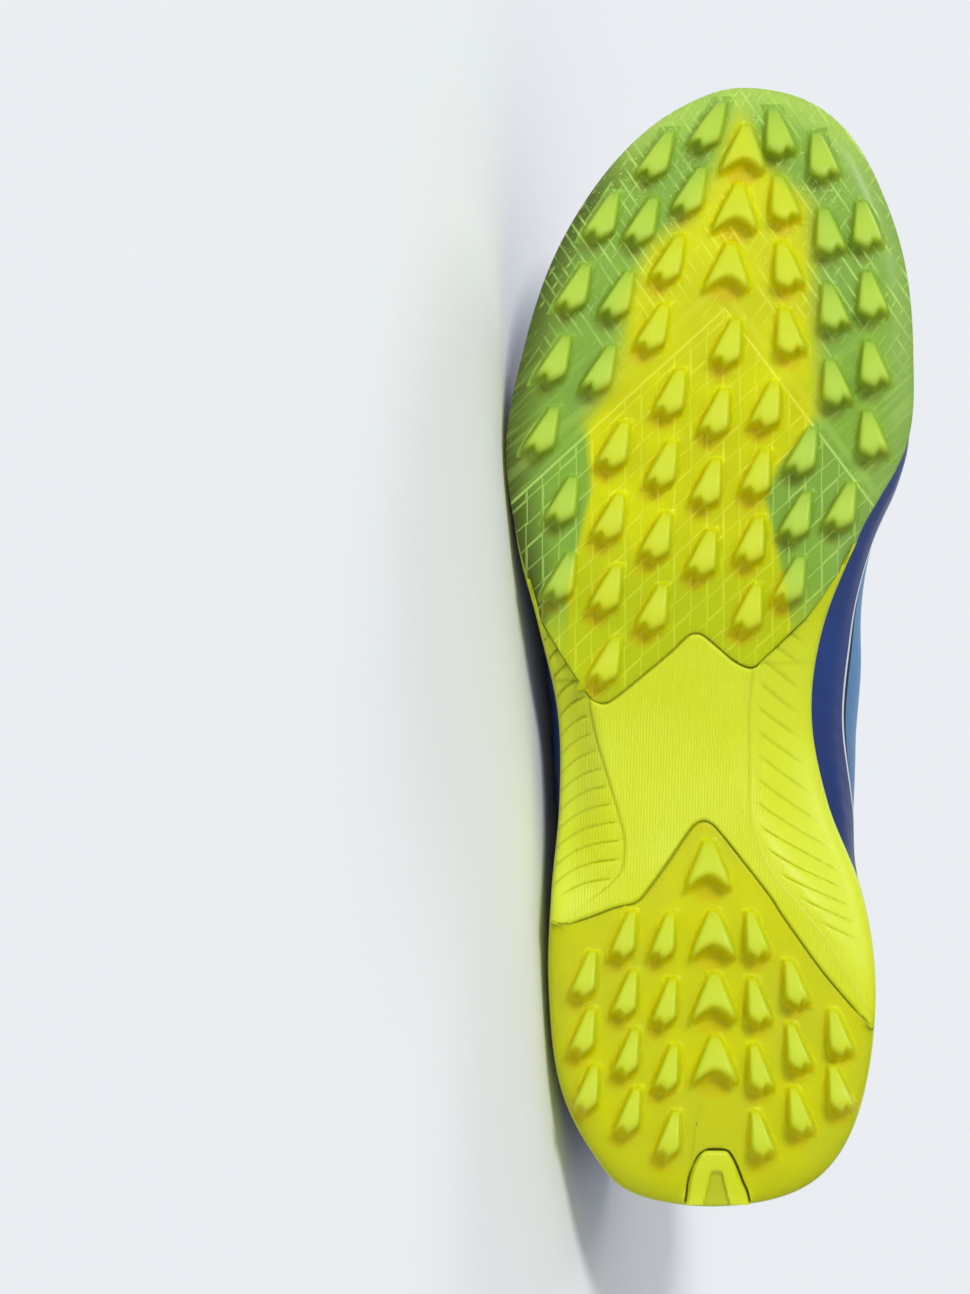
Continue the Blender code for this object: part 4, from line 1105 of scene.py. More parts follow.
def add_lug(mesh, x, y, lean, kind):
    """One ramped lug with its jagged or crescent rear, walled round with sloping sides."""
    hand = 1 if lean >= 0 else -1
    column = LUG_KINDS.index(kind)
    slant = math.tan(lean * LUG_LEAN)

    def place(u, v):
        across, out, side = pick(LUG_SIDES, u)
        length, beyond, end = pick(LUG_RUN, v)
        short = between(LUG_REARS[kind], across * hand)
        wall = max(beyond, 0.0) / 1000 / LUG_FOOT
        rear = LUG_TOP - short * (1 - 0.7 * wall)
        row = hermite(LUG_SHAPE, rear * length / LUG_TOP)
        ahead = LUG_TOP / 2 - rear * length - beyond / 1000
        reach = row[column] * across + math.copysign(out / 1000, across)
        py = y + ahead
        along = py / SHOE_LENGTH
        outer, inner = edge_pair(along)
        px = min(max(x - ahead * slant - reach, inner + LUG_EDGE_GAP), outer - LUG_EDGE_GAP)
        share = side * end * row[3] if min(side, end) > 0 else 0.0
        low = underside(along) + rim_rise(min(outer - px, px - inner)) * (1 - share)
        height = LUG_HEIGHT * (share or min(side, end))
        # Painted shade on the rear wall, the left flank and the back of the top; at the lug's foot
        # it fades into the painted shadow behind the lug
        behind = max(smooth(wall * 3.0), 0.75 * smooth(out / 0.6) if across < 0 else 0.0)
        painted_rear_top_shade = 0.35 * smooth((length - 0.80) / 0.2)
        root = 1 - smooth(share * 6)
        deep = behind + (painted_shadow_mask(Vector((px, py))) - behind) * root
        return (Vector((px, py, low - height)), share, max(behind, painted_rear_top_shade) * (1 - root), 0.0,
                centre_mask(px, py), deep)

    bent_grid(mesh, len(LUG_SIDES) - 1, len(LUG_RUN) - 1, place, RUBBER_MASKS)


# Painted shadow round a lug: half size and sideways place of its root, by kind, then
# the root's and the flank's place behind the middle, half size and the flank's place outward
ROOT_ACROSS = {"fork": (0.0036, 0.0014), "crown": (0.0036, 0.0014), "chevron": (0.0048, 0.0002)}
ROOT_BACK, ROOT_LONG = 0.0072, 0.0031
FLANK_BACK, FLANK_LONG, FLANK_WIDE, FLANK_OUT = 0.0015, 0.0050, 0.0016, 0.0030
LUG_REACH = (0.012, 0.014)


def painted_shadow_mask(spot):
    """Painted mustard shadow below and beside each lug, darkest at the root behind it."""
    depth = 0.0
    for x, y, lean, kind in LUGS:
        if abs(spot.x - x) > LUG_REACH[0] or abs(spot.y - y) > LUG_REACH[1]:
            continue
        wide, side = ROOT_ACROSS[kind]
        slant = math.tan(lean * LUG_LEAN)
        root_x = x + LUG_TOP / 2 * slant + side
        root = math.hypot((spot.x - root_x) / wide, (spot.y - y + ROOT_BACK) / ROOT_LONG)
        flank_x = x - (spot.y - y) * slant + FLANK_OUT
        flank = math.hypot((spot.x - flank_x) / FLANK_WIDE, (spot.y - y + FLANK_BACK) / FLANK_LONG)
        depth = max(depth, 1 - smooth((root - 0.4) / 0.8),
                    0.55 - 0.55 * smooth((flank - 0.3) / 0.9))
    return depth


def add_plate(mesh, border, centre):
    """Closed rubber plate inside a border, rounded at its edges."""
    count = len(border)
    middle = in_plan(*centre)
    steps = 64
    levels = [(1 - (1 - step / steps) ** 1.6, False) for step in range(steps + 1)]
    levels += [(1.0, True), (0.6, True), (0.0, True)]
    on_edge = []
    for point in border:
        along = min(max(point.y / SHOE_LENGTH, 0.0), 1.0)
        outer, inner = edge_pair(along)
        gap = min(outer - point.x, point.x - inner)
        gap = min(gap, point.y, SHOE_LENGTH - point.y) if along in (0.0, 1.0) else gap
        on_edge.append(1 - smooth(gap / 0.0015))

    def place(u, v):
        index = round(u * count) % count
        edge = border[index]
        share, over = pick(levels, v)
        spot = middle.lerp(edge, share)
        inset = (1 - share) * (edge - middle).length
        rim = on_edge[index]
        rise = rim_rise(inset, rim)
        low = underside(spot.y / SHOE_LENGTH)
        height = low + (PLATE if over else rise)
        shade = rim * smooth(1 - inset / 0.012)
        return (Vector((spot.x, spot.y, height)), 0.0, 0.0, shade,
                centre_mask(spot.x, spot.y), painted_shadow_mask(spot))

    bent_grid(mesh, count, len(levels) - 1, place, RUBBER_MASKS)


class TURF_OT_outsoles(bpy.types.Operator):
    """Build the two rubber outsoles with their lugs"""

    bl_idname = "turf.outsoles"
    bl_label = "Outsoles"

    def execute(self, context):
        sole = context.scene.turf_sole
        parts = (
            ("outsole_forefoot", FOREFOOT_EDGE, FOREFOOT_CENTRE, True,
             rubber_finish("clear_forefoot_rubber", sole.rubber_green, sole.rubber_yellow,
                           "forefoot"), "forefoot_rubber", 520),
            ("outsole_heel", HEEL_EDGE, HEEL_CENTRE, False,
             rubber_finish("clear_heel_rubber", sole.heel, sole.heel, "heel"),
             "heel_rubber", 420),
        )
        for node, edge, centre, ahead, finish, slot, count in parts:
            mesh = new_mesh(RUBBER_MASKS)
            add_plate(mesh, zone_border(edge, ahead, count), centre)
            for x, y, lean, kind in LUGS:
                if (y / SHOE_LENGTH > 0.42) == ahead:
                    add_lug(mesh, x, y, lean, kind)
            finish_piece(node + "_rubber", mesh, [finish], slot, [node], 75)
        return {"FINISHED"}


# groove carries painted shade in grooves and recesses
FOAM_MASKS = ("ribbed", "groove")


# Pitch of the moulded grooves on the outer and the inner wing, in millimetres
OUTER_PITCH, INNER_PITCH = 4.7, 6.0


def wing_relief(x, y, edge_side, edge_x):
    """Depth of the moulded grooves at a place of the shank, how ribbed and how shaded it is."""
    along = y / SHOE_LENGTH
    ribbed = 1.0
    groove = 0.0
    depth = 0.0
    if edge_side == "outer":
        start = hermite(OUTER_WING, along)[0] * SOLE_WIDTH
        into = x - start
        reach = max(edge_x - x, 0.0) * 1000
        if along < 0.47:
            step_up = smooth((along - 0.262) / 0.02)
            depth += 0.00050 * smooth(into / 0.0007) * step_up
            groove = math.exp(-((into - 0.0003) / 0.00035) ** 2) * 0.5 * step_up
        if into > 0:
            rise = 7.0 * (1 - math.exp(-reach / 5.5))
            part = (y * 1000 - rise) / OUTER_PITCH % 1
            off = min(part, 1 - part) * OUTER_PITCH
            show = smooth((into - 0.0008) / 0.0018) * smooth((along - 0.272) / 0.012)
            show *= smooth((0.520 - along) / 0.03)
            line = math.exp(-(off / 0.34) ** 2) * show
            depth += 0.00030 * line + 0.00042 * (1 - part) ** 2 * show
            groove = max(groove, line * 0.6)
            ribbed = smooth((reach - 3.0) / 2.0)
    else:
        start = hermite(INNER_WING, along)[0] * SOLE_WIDTH
        into = start - x
        if along < 0.485:
            depth += 0.00025 * smooth(into / 0.0008)
            groove = math.exp(-((into - 0.0002) / 0.0004) ** 2) * 0.25
        if into > 0:
            ribbed = 0.6 * (1 - smooth((into - 0.002) / 0.005))
            room = x - edge_x
            run = y * 1000 + into * 1000 * 0.70 - 1.2 * math.exp(-into * 1000 / 3)
            part = run / INNER_PITCH % 1
            off = min(part, 1 - part) * INNER_PITCH
            show = smooth((into - 0.0018) / 0.002) * smooth((room - 0.0022) / 0.004)
            show *= smooth((along - 0.225) / 0.02) * smooth((0.550 - along) / 0.02)
            line = math.exp(-(off / 0.42) ** 2) * show
            depth += 0.00034 * line + 0.00016 * part * show
            groove = max(groove, line * 0.40)
    return depth, ribbed, groove


def border_normals(points, ahead):
    """Plan direction into the shank at each point of one of its borders."""
    found = []
    last = len(points) - 1
    for index in range(len(points)):
        run = points[min(index + 3, last)] - points[max(index - 3, 0)]
        across = Vector((-run.y, run.x)).normalized()
        found.append(across if (across.y > 0) == ahead else -across)
    return found


def add_shank(mesh, gap):
    """Ribbed shank and wings between the two outsoles, its borders dropping into a groove."""
    columns, rows, margin = 214, 226, 3
    spans, runs = columns - 2 * margin, rows - 2 * margin
    fade_columns, border = 14, 0.003
    front = [point for point in curve_points(FOREFOOT_EDGE) if inside(point)]
    back = [point for point in curve_points(HEEL_EDGE) if inside(point)]
    front = even_run(front, spans + 1, closed=False)
    back = even_run(back, spans + 1, closed=False)
    into_front, into_back = border_normals(front, False), border_normals(back, True)
    limits = [(back[0].y, front[0].y), (back[-1].y, front[-1].y)]

    def plan(column, v):
        u = column / spans
        sides = []
        for (first, last), side in zip(limits, ("outer", "inner")):
            y = first + (last - first) * v
            sides.append(Vector((edge_reach(y / SHOE_LENGTH, side), y)))
        corners = (back[0].lerp(front[0], v), back[-1].lerp(front[-1], v))
        spot = back[column].lerp(front[column], v)
        return spot + (sides[0] - corners[0]) * (1 - u) + (sides[1] - corners[1]) * u

    def place(u, v):
        column_at, row_at = round(u * columns), round(v * rows)
        column = min(max(column_at - margin, 0), spans)
        row = min(max(row_at - margin, 0), runs)
        share = row / runs
        spot = plan(column, share)
        span = (front[column] - back[column]).length
        to_back, to_front = span * share, span * (1 - share)
        width = spot.x / SOLE_WIDTH
        open_front = 0.25 + 0.75 * smooth((width + 0.13) / 0.05) * smooth((0.31 - width) / 0.05)
        fade = smooth(min(column, spans - column) / fade_columns)
        gap_front = gap * open_front * fade
        below = 0.0
        pushes = {0: -0.0004, 1: 0.00012, 2: 0.0}
        near_back = gap * fade * smooth(1 - to_back / border)
        near_front = gap_front * smooth(1 - to_front / border)
        if row_at < margin:
            below = (0.0009 if row_at < 2 else 0.0005) * fade
            near_back = (0 if row_at == 0 else gap * fade) + pushes[row_at] * fade
        if row_at > rows - margin:
            below = (0.0009 if row_at > rows - 2 else 0.0005) * fade
            last = rows - row_at
            near_front = (0 if last == 0 else gap_front) + pushes[last] * fade
        spot = spot + into_back[column] * near_back + into_front[column] * near_front
        along = min(max(spot.y / SHOE_LENGTH, 0.0), 1.0)
        outer, inner = edge_pair(along)
        spot.x = min(max(spot.x, inner), outer)
        side, edge = ("outer", outer) if spot.x > (outer + inner) / 2 else ("inner", inner)
        height = ground(spot.x, spot.y)
        depth, ribbed, groove = wing_relief(spot.x, spot.y, side, edge)
        lip = 1 - min(min(to_back, to_front) / 0.0007, 1.0)
        height += depth + 0.00030 * lip * lip
        bend = 1 - min(abs(edge - spot.x) / 0.0024, 1.0)
        height += EDGE_ROUND * 0.9 * (1 - math.sqrt(1 - bend * bend))
        # Groove floor: lowered and given full painted shade
        if below:
            height = ground(spot.x, spot.y) + below
            groove = fade
        outside = min(column_at, columns - column_at)
        if outside < margin:
            height += (0.0026, 0.0018, 0.0009)[outside]
        return Vector((spot.x, spot.y, height)), ribbed, groove

    bent_grid(mesh, columns, rows, place, FOAM_MASKS)


def add_foam_body(mesh):
    """Foam under the whole foot, recessed for the rubber."""
    columns = 360
    shares = [index / 20 for index in range(20)] + [0.98]
    levels = ([("under", share) for share in shares]
              + [("side", part) for part in (0.0, 0.04, 0.2, 0.4, 0.6, 0.8, 0.93, 1.0)]
              + [("bed", share) for share in (0.97, 0.8, 0.5, 0.0)])

    def place(u, v):
        turn = u % 1.0
        kind, value = pick(levels, v)
        edge, middle = outline(turn), spine(turn)
        if kind == "side":
            low = underside(edge.y / SHOE_LENGTH) + wing_climb(turn, 1.0) + PLATE
            high = footbed(edge.y / SHOE_LENGTH)
            swell = MIDSOLE_CROWN * math.sin(math.pi * min(value * 1.15, 1.0))
            tuck = 0.0006 * (smooth((value - 0.9) / 0.1) + smooth((0.04 - value) / 0.04) * 0.5)
            ahead = smooth((edge.y / SHOE_LENGTH - 0.55) / 0.1)
            spot = edge + outward(turn) * (swell * (1 - ahead) - tuck - 0.0003 * ahead)
            return Vector((spot.x, spot.y, low + (high - low) * value)), 0.0, 0.0
        spot = middle.lerp(edge - outward(turn) * 0.0004, value)
        along = spot.y / SHOE_LENGTH
        if kind == "bed":
            return Vector((spot.x, spot.y, footbed(along))), 0.0, 0.0
        height = underside(along) + wing_climb(turn, value) + PLATE + GAP
        # Foam under the rubber gets painted shade
        return Vector((spot.x, spot.y, height)), 0.0, 0.6

    bent_grid(mesh, columns, len(levels) - 1, place, FOAM_MASKS)


def add_heel_tab(mesh):
    """Foam tab in the heel notch, with its own groove."""
    columns, rows = 36, 30
    start, side_gap, tip_gap = 0.0002, 0.0006, 0.0007
    middle, dent_tip, lip = -0.0009, 0.0090, 0.0008
    ring = curve_points(NOTCH, 12)
    left = [point for point in ring if point.x <= -0.0004]
    right = [point for point in ring if point.x >= 0.0]
    tip = max(point.y for point in ring) - tip_gap

    def place(u, v):
        column = min(max((round(u * columns) - 1) / (columns - 2), 0.0), 1.0)
        row = min(max((round(v * rows) - 1) / (rows - 2), 0.0), 1.0)
        y = start + (tip - start) * row
        inner_x = min(left, key=lambda point: abs(point.y - y)).x + side_gap
        outer_x = min(right, key=lambda point: abs(point.y - y)).x - side_gap
        x = inner_x + (outer_x - inner_x) * column
        low = underside(y / SHOE_LENGTH)
        reach = max(0.0, 0.0012 + (0.0075 - y) * 0.24)
        dent = smooth((dent_tip - y) / 0.0012) * (1 - smooth((abs(x - middle) - reach) / 0.0006))
        edge = min(column, 1 - column) * (outer_x - inner_x)
        edge = min(edge, tip - y, y + 0.0004)
        height = low + 0.0004 + 0.0011 * dent + lip * (1 - smooth(edge / lip))
        if round(u * columns) in (0, columns) or round(v * rows) in (0, rows):
            height = low + PLATE
        # Painted shade in the dent
        return Vector((x, y, height)), 0.0, dent * 0.5

    bent_grid(mesh, columns, rows, place, FOAM_MASKS)


class TURF_OT_midsole(bpy.types.Operator):
    """Build the foam midsole with its shank, wings and heel tab"""

    bl_idname = "turf.midsole"
    bl_label = "Midsole"

    def execute(self, context):
        sole = context.scene.turf_sole
        finish = foam_finish("moulded_foam", sole.foam, sole.rib_pitch)
        mesh = new_mesh(FOAM_MASKS)
        add_foam_body(mesh)
        finish_piece("midsole_body", mesh, [finish], "midsole_foam", ["midsole"])
        mesh = new_mesh(FOAM_MASKS)
        add_shank(mesh, sole.groove)
        add_heel_tab(mesh)
        shank = finish_piece("midsole_shank", mesh, [finish], "midsole_foam", ["midsole"])
        shell = shank.modifiers.new("wall", "SOLIDIFY")
        shell.thickness = 0.0003
        shell.offset = -1.0
        apply_modifiers(shank)
        return {"FINISHED"}


UPPER_MASKS = ("band", "wear")
PANEL_LIFT = 0.0006
PANEL_EDGE = 0.0008
THREAD_PROUD = 0.00005
STITCH = (0.0019, 0.00055, 0.0008)
RING_RADIUS = 0.0007
ARCH_BULGE = 0.0015

# Soft flex troughs over the ball of the foot: side, along and wall share of each end
CREASES = (
    (("outer", 0.63, 0.30), ("outer", 0.80, 0.62), ("outer", 0.93, 0.80), 0.0007),
    (("inner", 0.66, 0.28), ("inner", 0.80, 0.58), ("inner", 0.93, 0.78), 0.0007),
    (("outer", 0.70, 0.30), ("outer", 0.86, 0.58), ("outer", 0.985, 0.70), 0.0005),
    (("inner", 0.72, 0.28), ("inner", 0.88, 0.56), ("inner", 0.985, 0.68), 0.0005),
    (("outer", 0.12, 0.50), ("outer", 0.20, 0.62), ("outer", 0.30, 0.60), 0.0005),
    (("inner", 0.12, 0.50), ("inner", 0.20, 0.62), ("inner", 0.30, 0.60), 0.0005),
)


def crease_runs():
    """Points along each flex trough, with its depth."""
    runs = []
    for *stops, depth in CREASES:
        rows = [(index, turn_of(along, side), share)
                for index, (side, along, share) in enumerate(stops)]
        spots = [hermite(rows, step / 8) for step in range(8 * (len(rows) - 1) + 1)]
        runs.append(([upper_skin(turn, share) for turn, share in spots], depth))
    return runs


CREASE_RUNS = crease_runs()


def crease_depth(point):
    """Depth of the flex troughs at a point of the skin."""
    depth = 0.0
    for run, deep in CREASE_RUNS:
        near = min((point - spot).length_squared for spot in run)
        if near < 0.0001:
            depth += deep * (math.exp(-near / 0.0000050) - 0.35 * math.exp(-near / 0.000026))
    return depth


def upper_levels():
    """Rows round the wall: height share as (part of the lower panel, part above), depth."""
    levels = [("low", step / 18, -0.0005) for step in range(18)]
    levels += [("low", 0.985, -0.0005), ("low", 0.996, -0.0003), ("seam", 0.0, 0.0003),
               ("seam", 0.006, 0.0003), ("seam", 0.010, 0.0)]
    levels += [("high", step / 34, 0.0) for step in range(1, 34)]
    return levels


def upper_share(turn, kind, value):
    """Height share of one row of the upper."""
    seam = seam_share(turn)
    if kind == "low":
        return seam * value
    if kind == "seam":
        return seam + value
    start = seam + 0.012
    return start + (0.985 - start) * value


def arch_fill(turn, share):
    """How far the wall bulges over the arch, between its foot and its middle."""
    along = outline(turn).y / SHOE_LENGTH
    if turn <= 0.5:
        return 0.0
    arch = smooth((along - 0.30) / 0.05) * smooth((0.72 - along) / 0.08)
    return ARCH_BULGE * arch * smooth(share / 0.1) * smooth((0.65 - share) / 0.3)


def add_upper_shell(mesh):
    """The wall, its rolled edge, the lining and the lasting margin, as one closed shell."""
    columns = 420
    levels = upper_levels()
    wall_rows = len(levels)
    rim = [("rim", 0.992, 0.10), ("rim", 0.997, 0.28), ("rim", 1.0, 0.5), ("rim", 0.997, 0.72),
           ("rim", 0.992, 0.9)]
    inner = [("inner", 0.985 - 0.875 * step / 22, 1.0) for step in range(23)]
    margin = [("margin", WALL * 1.15, WALL), ("margin", LASTING_MARGIN, WALL),
              ("margin", LASTING_MARGIN, 0.0), ("low", 0.0, -0.0005)]
    levels = levels + rim + inner + margin
    seam_row = next(index for index, level in enumerate(levels) if level[0] == "seam")

    def place(u, v):
        turn = u % 1.0
        kind, value, depth = pick(levels, v)
        along = outline(turn).y / SHOE_LENGTH
        if kind == "margin":
            point = feather(turn) - outward(turn) * value
            bed = footbed(point.y / SHOE_LENGTH) + UPPER_SEAT
            return Vector((point.x, point.y, bed + depth)), 0.0, 0.0
        if kind in ("low", "seam", "high"):
            share = upper_share(turn, kind, value)
            point = upper_skin(turn, share)
            crease = crease_depth(point)
            point = point - upper_normal(turn, share) * (depth + crease - arch_fill(turn, share))
            band = smooth((along - 0.22) / 0.16) * smooth((0.84 - along) / 0.22)
            band *= smooth(1.25 - share * 1.25) if kind == "high" and turn > 0.5 else 0.0
            wear = min(max(crease / 0.0005, 0.0), 1.0)
            return point, band, wear
        return upper_point(turn, value, wall_depth(turn, value) * depth), 0.0, 0.0

    bent_grid(mesh, columns, len(levels) - 1, place, UPPER_MASKS)
    uv = mesh.loops.layers.uv.verify()
    last = len(levels) - 1
    lining_row = wall_rows + 3
    for face in mesh.faces:
        row = sum(loop[uv].uv.y for loop in face.loops) / 4 * last
        if row > lining_row:
            face.material_index = 1
        elif seam_row <= row < seam_row + 2.6:
            face.material_index = 2


def add_overlay(mesh, first, last, low, high, columns, rows):
    """Raised panel on the upper between two turns and two height shares."""
    def place(u, v):
        column, row = round(u * columns), round(v * rows)
        across = min(max((column - 1) / (columns - 2), 0.0), 1.0)
        up = min(max((row - 1) / (rows - 2), 0.0), 1.0)
        turn = first + (last - first) * across
        bottom, top = low(across), high(across)
        share = bottom + (top - bottom) * up
        point = upper_skin(turn, share)
        width = (upper_skin(turn, top) - upper_skin(turn, bottom)).length
        edge = min(up, 1 - up) * width
        eighth = upper_skin(first, share) - upper_skin(first + (last - first) / 8, share)
        side = min(across, 1 - across) * eighth.length * 8
        height = PANEL_LIFT * smooth(min(edge, side) / PANEL_EDGE + 0.35)
        if column in (0, columns) or row in (0, rows):
            height = -PANEL_LIFT
        height -= crease_depth(point)
        return upper_point(turn, share, -height), 0.0, 0.0

    bent_grid(mesh, columns, rows, place, UPPER_MASKS)


def add_stitches(mesh, path, length, width, gap):
    """Row of small raised stitches along path(v), which gives a point and the way up."""
    spots = [path(step / 400) for step in range(401)]
    run = 0.0
    goal = 0.0
    for (before, _), (after, up) in zip(spots, spots[1:]):
        run += (after - before).length
        if run < goal:
            continue
        goal = run + length + gap
        ahead = (after - before).normalized()
        side = ahead.cross(up).normalized()
        turned = Matrix((side, ahead, side.cross(ahead))).transposed().to_4x4()
        made = bmesh.ops.create_cube(mesh, size=1.0)["verts"]
        bmesh.ops.scale(mesh, vec=(width, length, width * 0.7), verts=made)
        edges = {edge for vert in made for edge in vert.link_edges}
        rounded = bmesh.ops.bevel(mesh, geom=list(edges), offset=width * 0.3, segments=1,
                                  affect="EDGES", profile=0.5, material=-1)
        made = list({vert for face in rounded["faces"] for vert in face.verts}
                    | {vert for vert in made if vert.is_valid})
        bmesh.ops.transform(mesh, verts=made, matrix=Matrix.Translation(after) @ turned)


STAY_FROM, STAY_TO = 0.235, 0.765
COUNTER_FROM, COUNTER_TO = 0.865, 1.135


def stay_low(across):
    """Lower edge of the eyelet stay."""
    end = min(across, 1 - across) * 2
    return 0.775 - 0.03 * smooth(end * 2.0) + 0.05 * smooth((end - 0.7) / 0.3)


def counter_top(across):
    """Upper edge of the heel counter."""
    middle = 1 - abs(2 * across - 1)
    return 0.16 + 0.36 * smooth(middle * 1.4)


class TURF_OT_upper(bpy.types.Operator):
    """Build the hollow upper with its panels, piping, rings and stitches"""

    bl_idname = "turf.upper"
    bl_label = "Upper"

    def execute(self, context):
        look = context.scene.turf_upper
        skin = skin_finish("coated_skin", look.skin, look.band)
        lining = knit_finish("lining_knit", look.lining, colour("2B4272"))
        seam = trim_finish("seam_shadow", colour("0C1A30"), 0.8)
        mesh = new_mesh(UPPER_MASKS)
        add_upper_shell(mesh)
        add_overlay(mesh, STAY_FROM, STAY_TO, stay_low, lambda across: 0.984, 300, 26)
        add_overlay(mesh, COUNTER_FROM, COUNTER_TO, lambda across: 0.02, counter_top, 160, 36)
        shell = finish_piece("upper_shell", mesh, [skin, lining, seam], "coated_upper",
                             ["upper"], 45)
        self.punch(shell)
        self.pipe(look.piping)
        self.rings()
        self.stitch()
        return {"FINISHED"}

    def punch(self, shell):
        """Cut the eyelets through the wall."""
        mesh = bmesh.new()
        for side in ("outer", "inner"):
            for index in range(EYELET_PAIRS):
                turn, share = eyelet_place(side, index)
                normal = upper_normal(turn, share)
                made = bmesh.ops.create_cone(mesh, cap_ends=True, segments=20,
                                             radius1=EYELET_RADIUS, radius2=EYELET_RADIUS,
                                             depth=WALL * 4)["verts"]
                spin = normal.to_track_quat("Z", "Y").to_matrix().to_4x4()
                centre = upper_point(turn, share, WALL / 2)
                bmesh.ops.transform(mesh, verts=made, matrix=Matrix.Translation(centre) @ spin)
        bmesh.ops.transform(mesh, matrix=SHOE, verts=mesh.verts)
        cutter = new_object("punch", mesh)
        cut = shell.modifiers.new("eyelets", "BOOLEAN")
        cut.operation = "DIFFERENCE"
        cut.solver = "EXACT"
        cut.use_self = True
        cut.object = cutter
        apply_modifiers(shell)
        bpy.data.objects.remove(cutter)

    def pipe(self, radius):
        """Silver piping above the lower panel."""
        mesh = new_mesh()
        first, last = turn_of(0.180, "outer"), turn_of(0.250, "inner")

        def piping(v):
            turn = first + (last - first) * v
            share = seam_share(turn) + 0.005
            proud = arch_fill(turn, share) + 0.0006 * smooth(min(v, 1 - v) * 16) - 0.0004
            return on_skin(turn, share, proud)

        tube(mesh, piping, radius, 12, 420)
        finish_piece("upper_piping", mesh,
                     [trim_finish("silver_piping", colour("DDE4EA"), 0.3, 0.2)], "coated_upper")

    def rings(self):
        """Welded ring round each eyelet."""
        mesh = new_mesh()
        for side in ("outer", "inner"):
            for index in range(EYELET_PAIRS):
                turn, share = eyelet_place(side, index)
                centre, normal = on_skin(turn, share, RING_RADIUS)
                across = normal.orthogonal().normalized()
                other = normal.cross(across)

                def ring(v):
                    angle = 2 * math.pi * v
                    away = across * math.cos(angle) + other * math.sin(angle)
                    return centre + away * (EYELET_RADIUS + RING_RADIUS), normal

                tube(mesh, ring, RING_RADIUS, 10, 28, closed=True, flat=0.6)
        finish_piece("upper_rings", mesh,
                     [trim_finish("welded_ring", colour("1A2D5E"), 0.35)], "coated_upper")

    def stitch(self):
        """Thread along the stay, the counter and the lower panel."""
        mesh = new_mesh()

        def stay_row(v):
            turn = STAY_FROM + 0.004 + (STAY_TO - STAY_FROM - 0.008) * v
            share = stay_low((turn - STAY_FROM) / (STAY_TO - STAY_FROM)) + 0.022
            return on_skin(turn, share, PANEL_LIFT + THREAD_PROUD)

        def counter_row(v):
            turn = COUNTER_FROM + 0.005 + 0.26 * v
            share = counter_top((turn - COUNTER_FROM) / (COUNTER_TO - COUNTER_FROM)) - 0.025
            return on_skin(turn, share, PANEL_LIFT + THREAD_PROUD)

        def panel_row(v):
            turn = 0.14 + 0.50 * v
            share = seam_share(turn) - 0.022
            return on_skin(turn, share, PANEL_LIFT - THREAD_PROUD)

        for row in (stay_row, counter_row, panel_row):
            add_stitches(mesh, row, *STITCH)
        finish_piece("upper_stitches", mesh,
                     [trim_finish("blue_thread", colour("3C66A8"), 0.7)], "coated_upper")


class TURF_OT_insole(bpy.types.Operator):
    """Build the cushioned insole"""

    bl_idname = "turf.insole"
    bl_label = "Insole"

    def execute(self, context):
        look = context.scene.turf_upper
        levels = ([(share, 0.0) for share in (0.0, 0.3, 0.6, 0.85, 0.97)]
                  + [(1.0, 0.35), (1.0, 0.75)] + [(share, 1.0) for share in (0.985, 0.94, 0.85)]
                  + [(0.7 - 0.1 * step, 1.0) for step in range(8)])

        def rim(turn):
            start = feather(turn)
            reaches = [(start - upper_point(turn, step * 0.02, wall_depth(turn, 0.0)))
                       .dot(outward(turn)) for step in range(8)]
            return -feather_inset(turn) - max(reaches) - INSOLE_CLEARANCE

        rims = {}

        def place(u, v):
            turn = u % 1.0
            share, rise = pick(levels, v)
            if turn not in rims:
                rims[turn] = outline(turn) + outward(turn) * rim(turn)
            spot = spine(turn).lerp(rims[turn], share)
            bed = footbed(spot.y / SHOE_LENGTH) + UPPER_SEAT + WALL + GAP
            cup = 0.0012 * smooth((share - 0.7) / 0.3)
            return Vector((spot.x, spot.y, bed + cup + rise * INSOLE_THICKNESS))

        mesh = new_mesh()
        bent_grid(mesh, 260, len(levels) - 1, place)
        finish = knit_finish("insole_knit", look.lining, colour("35508A"), 0.8)
        piece = finish_piece("insole_pad", mesh, [finish], "insole_fabric", ["insole"])
        return {"FINISHED"}


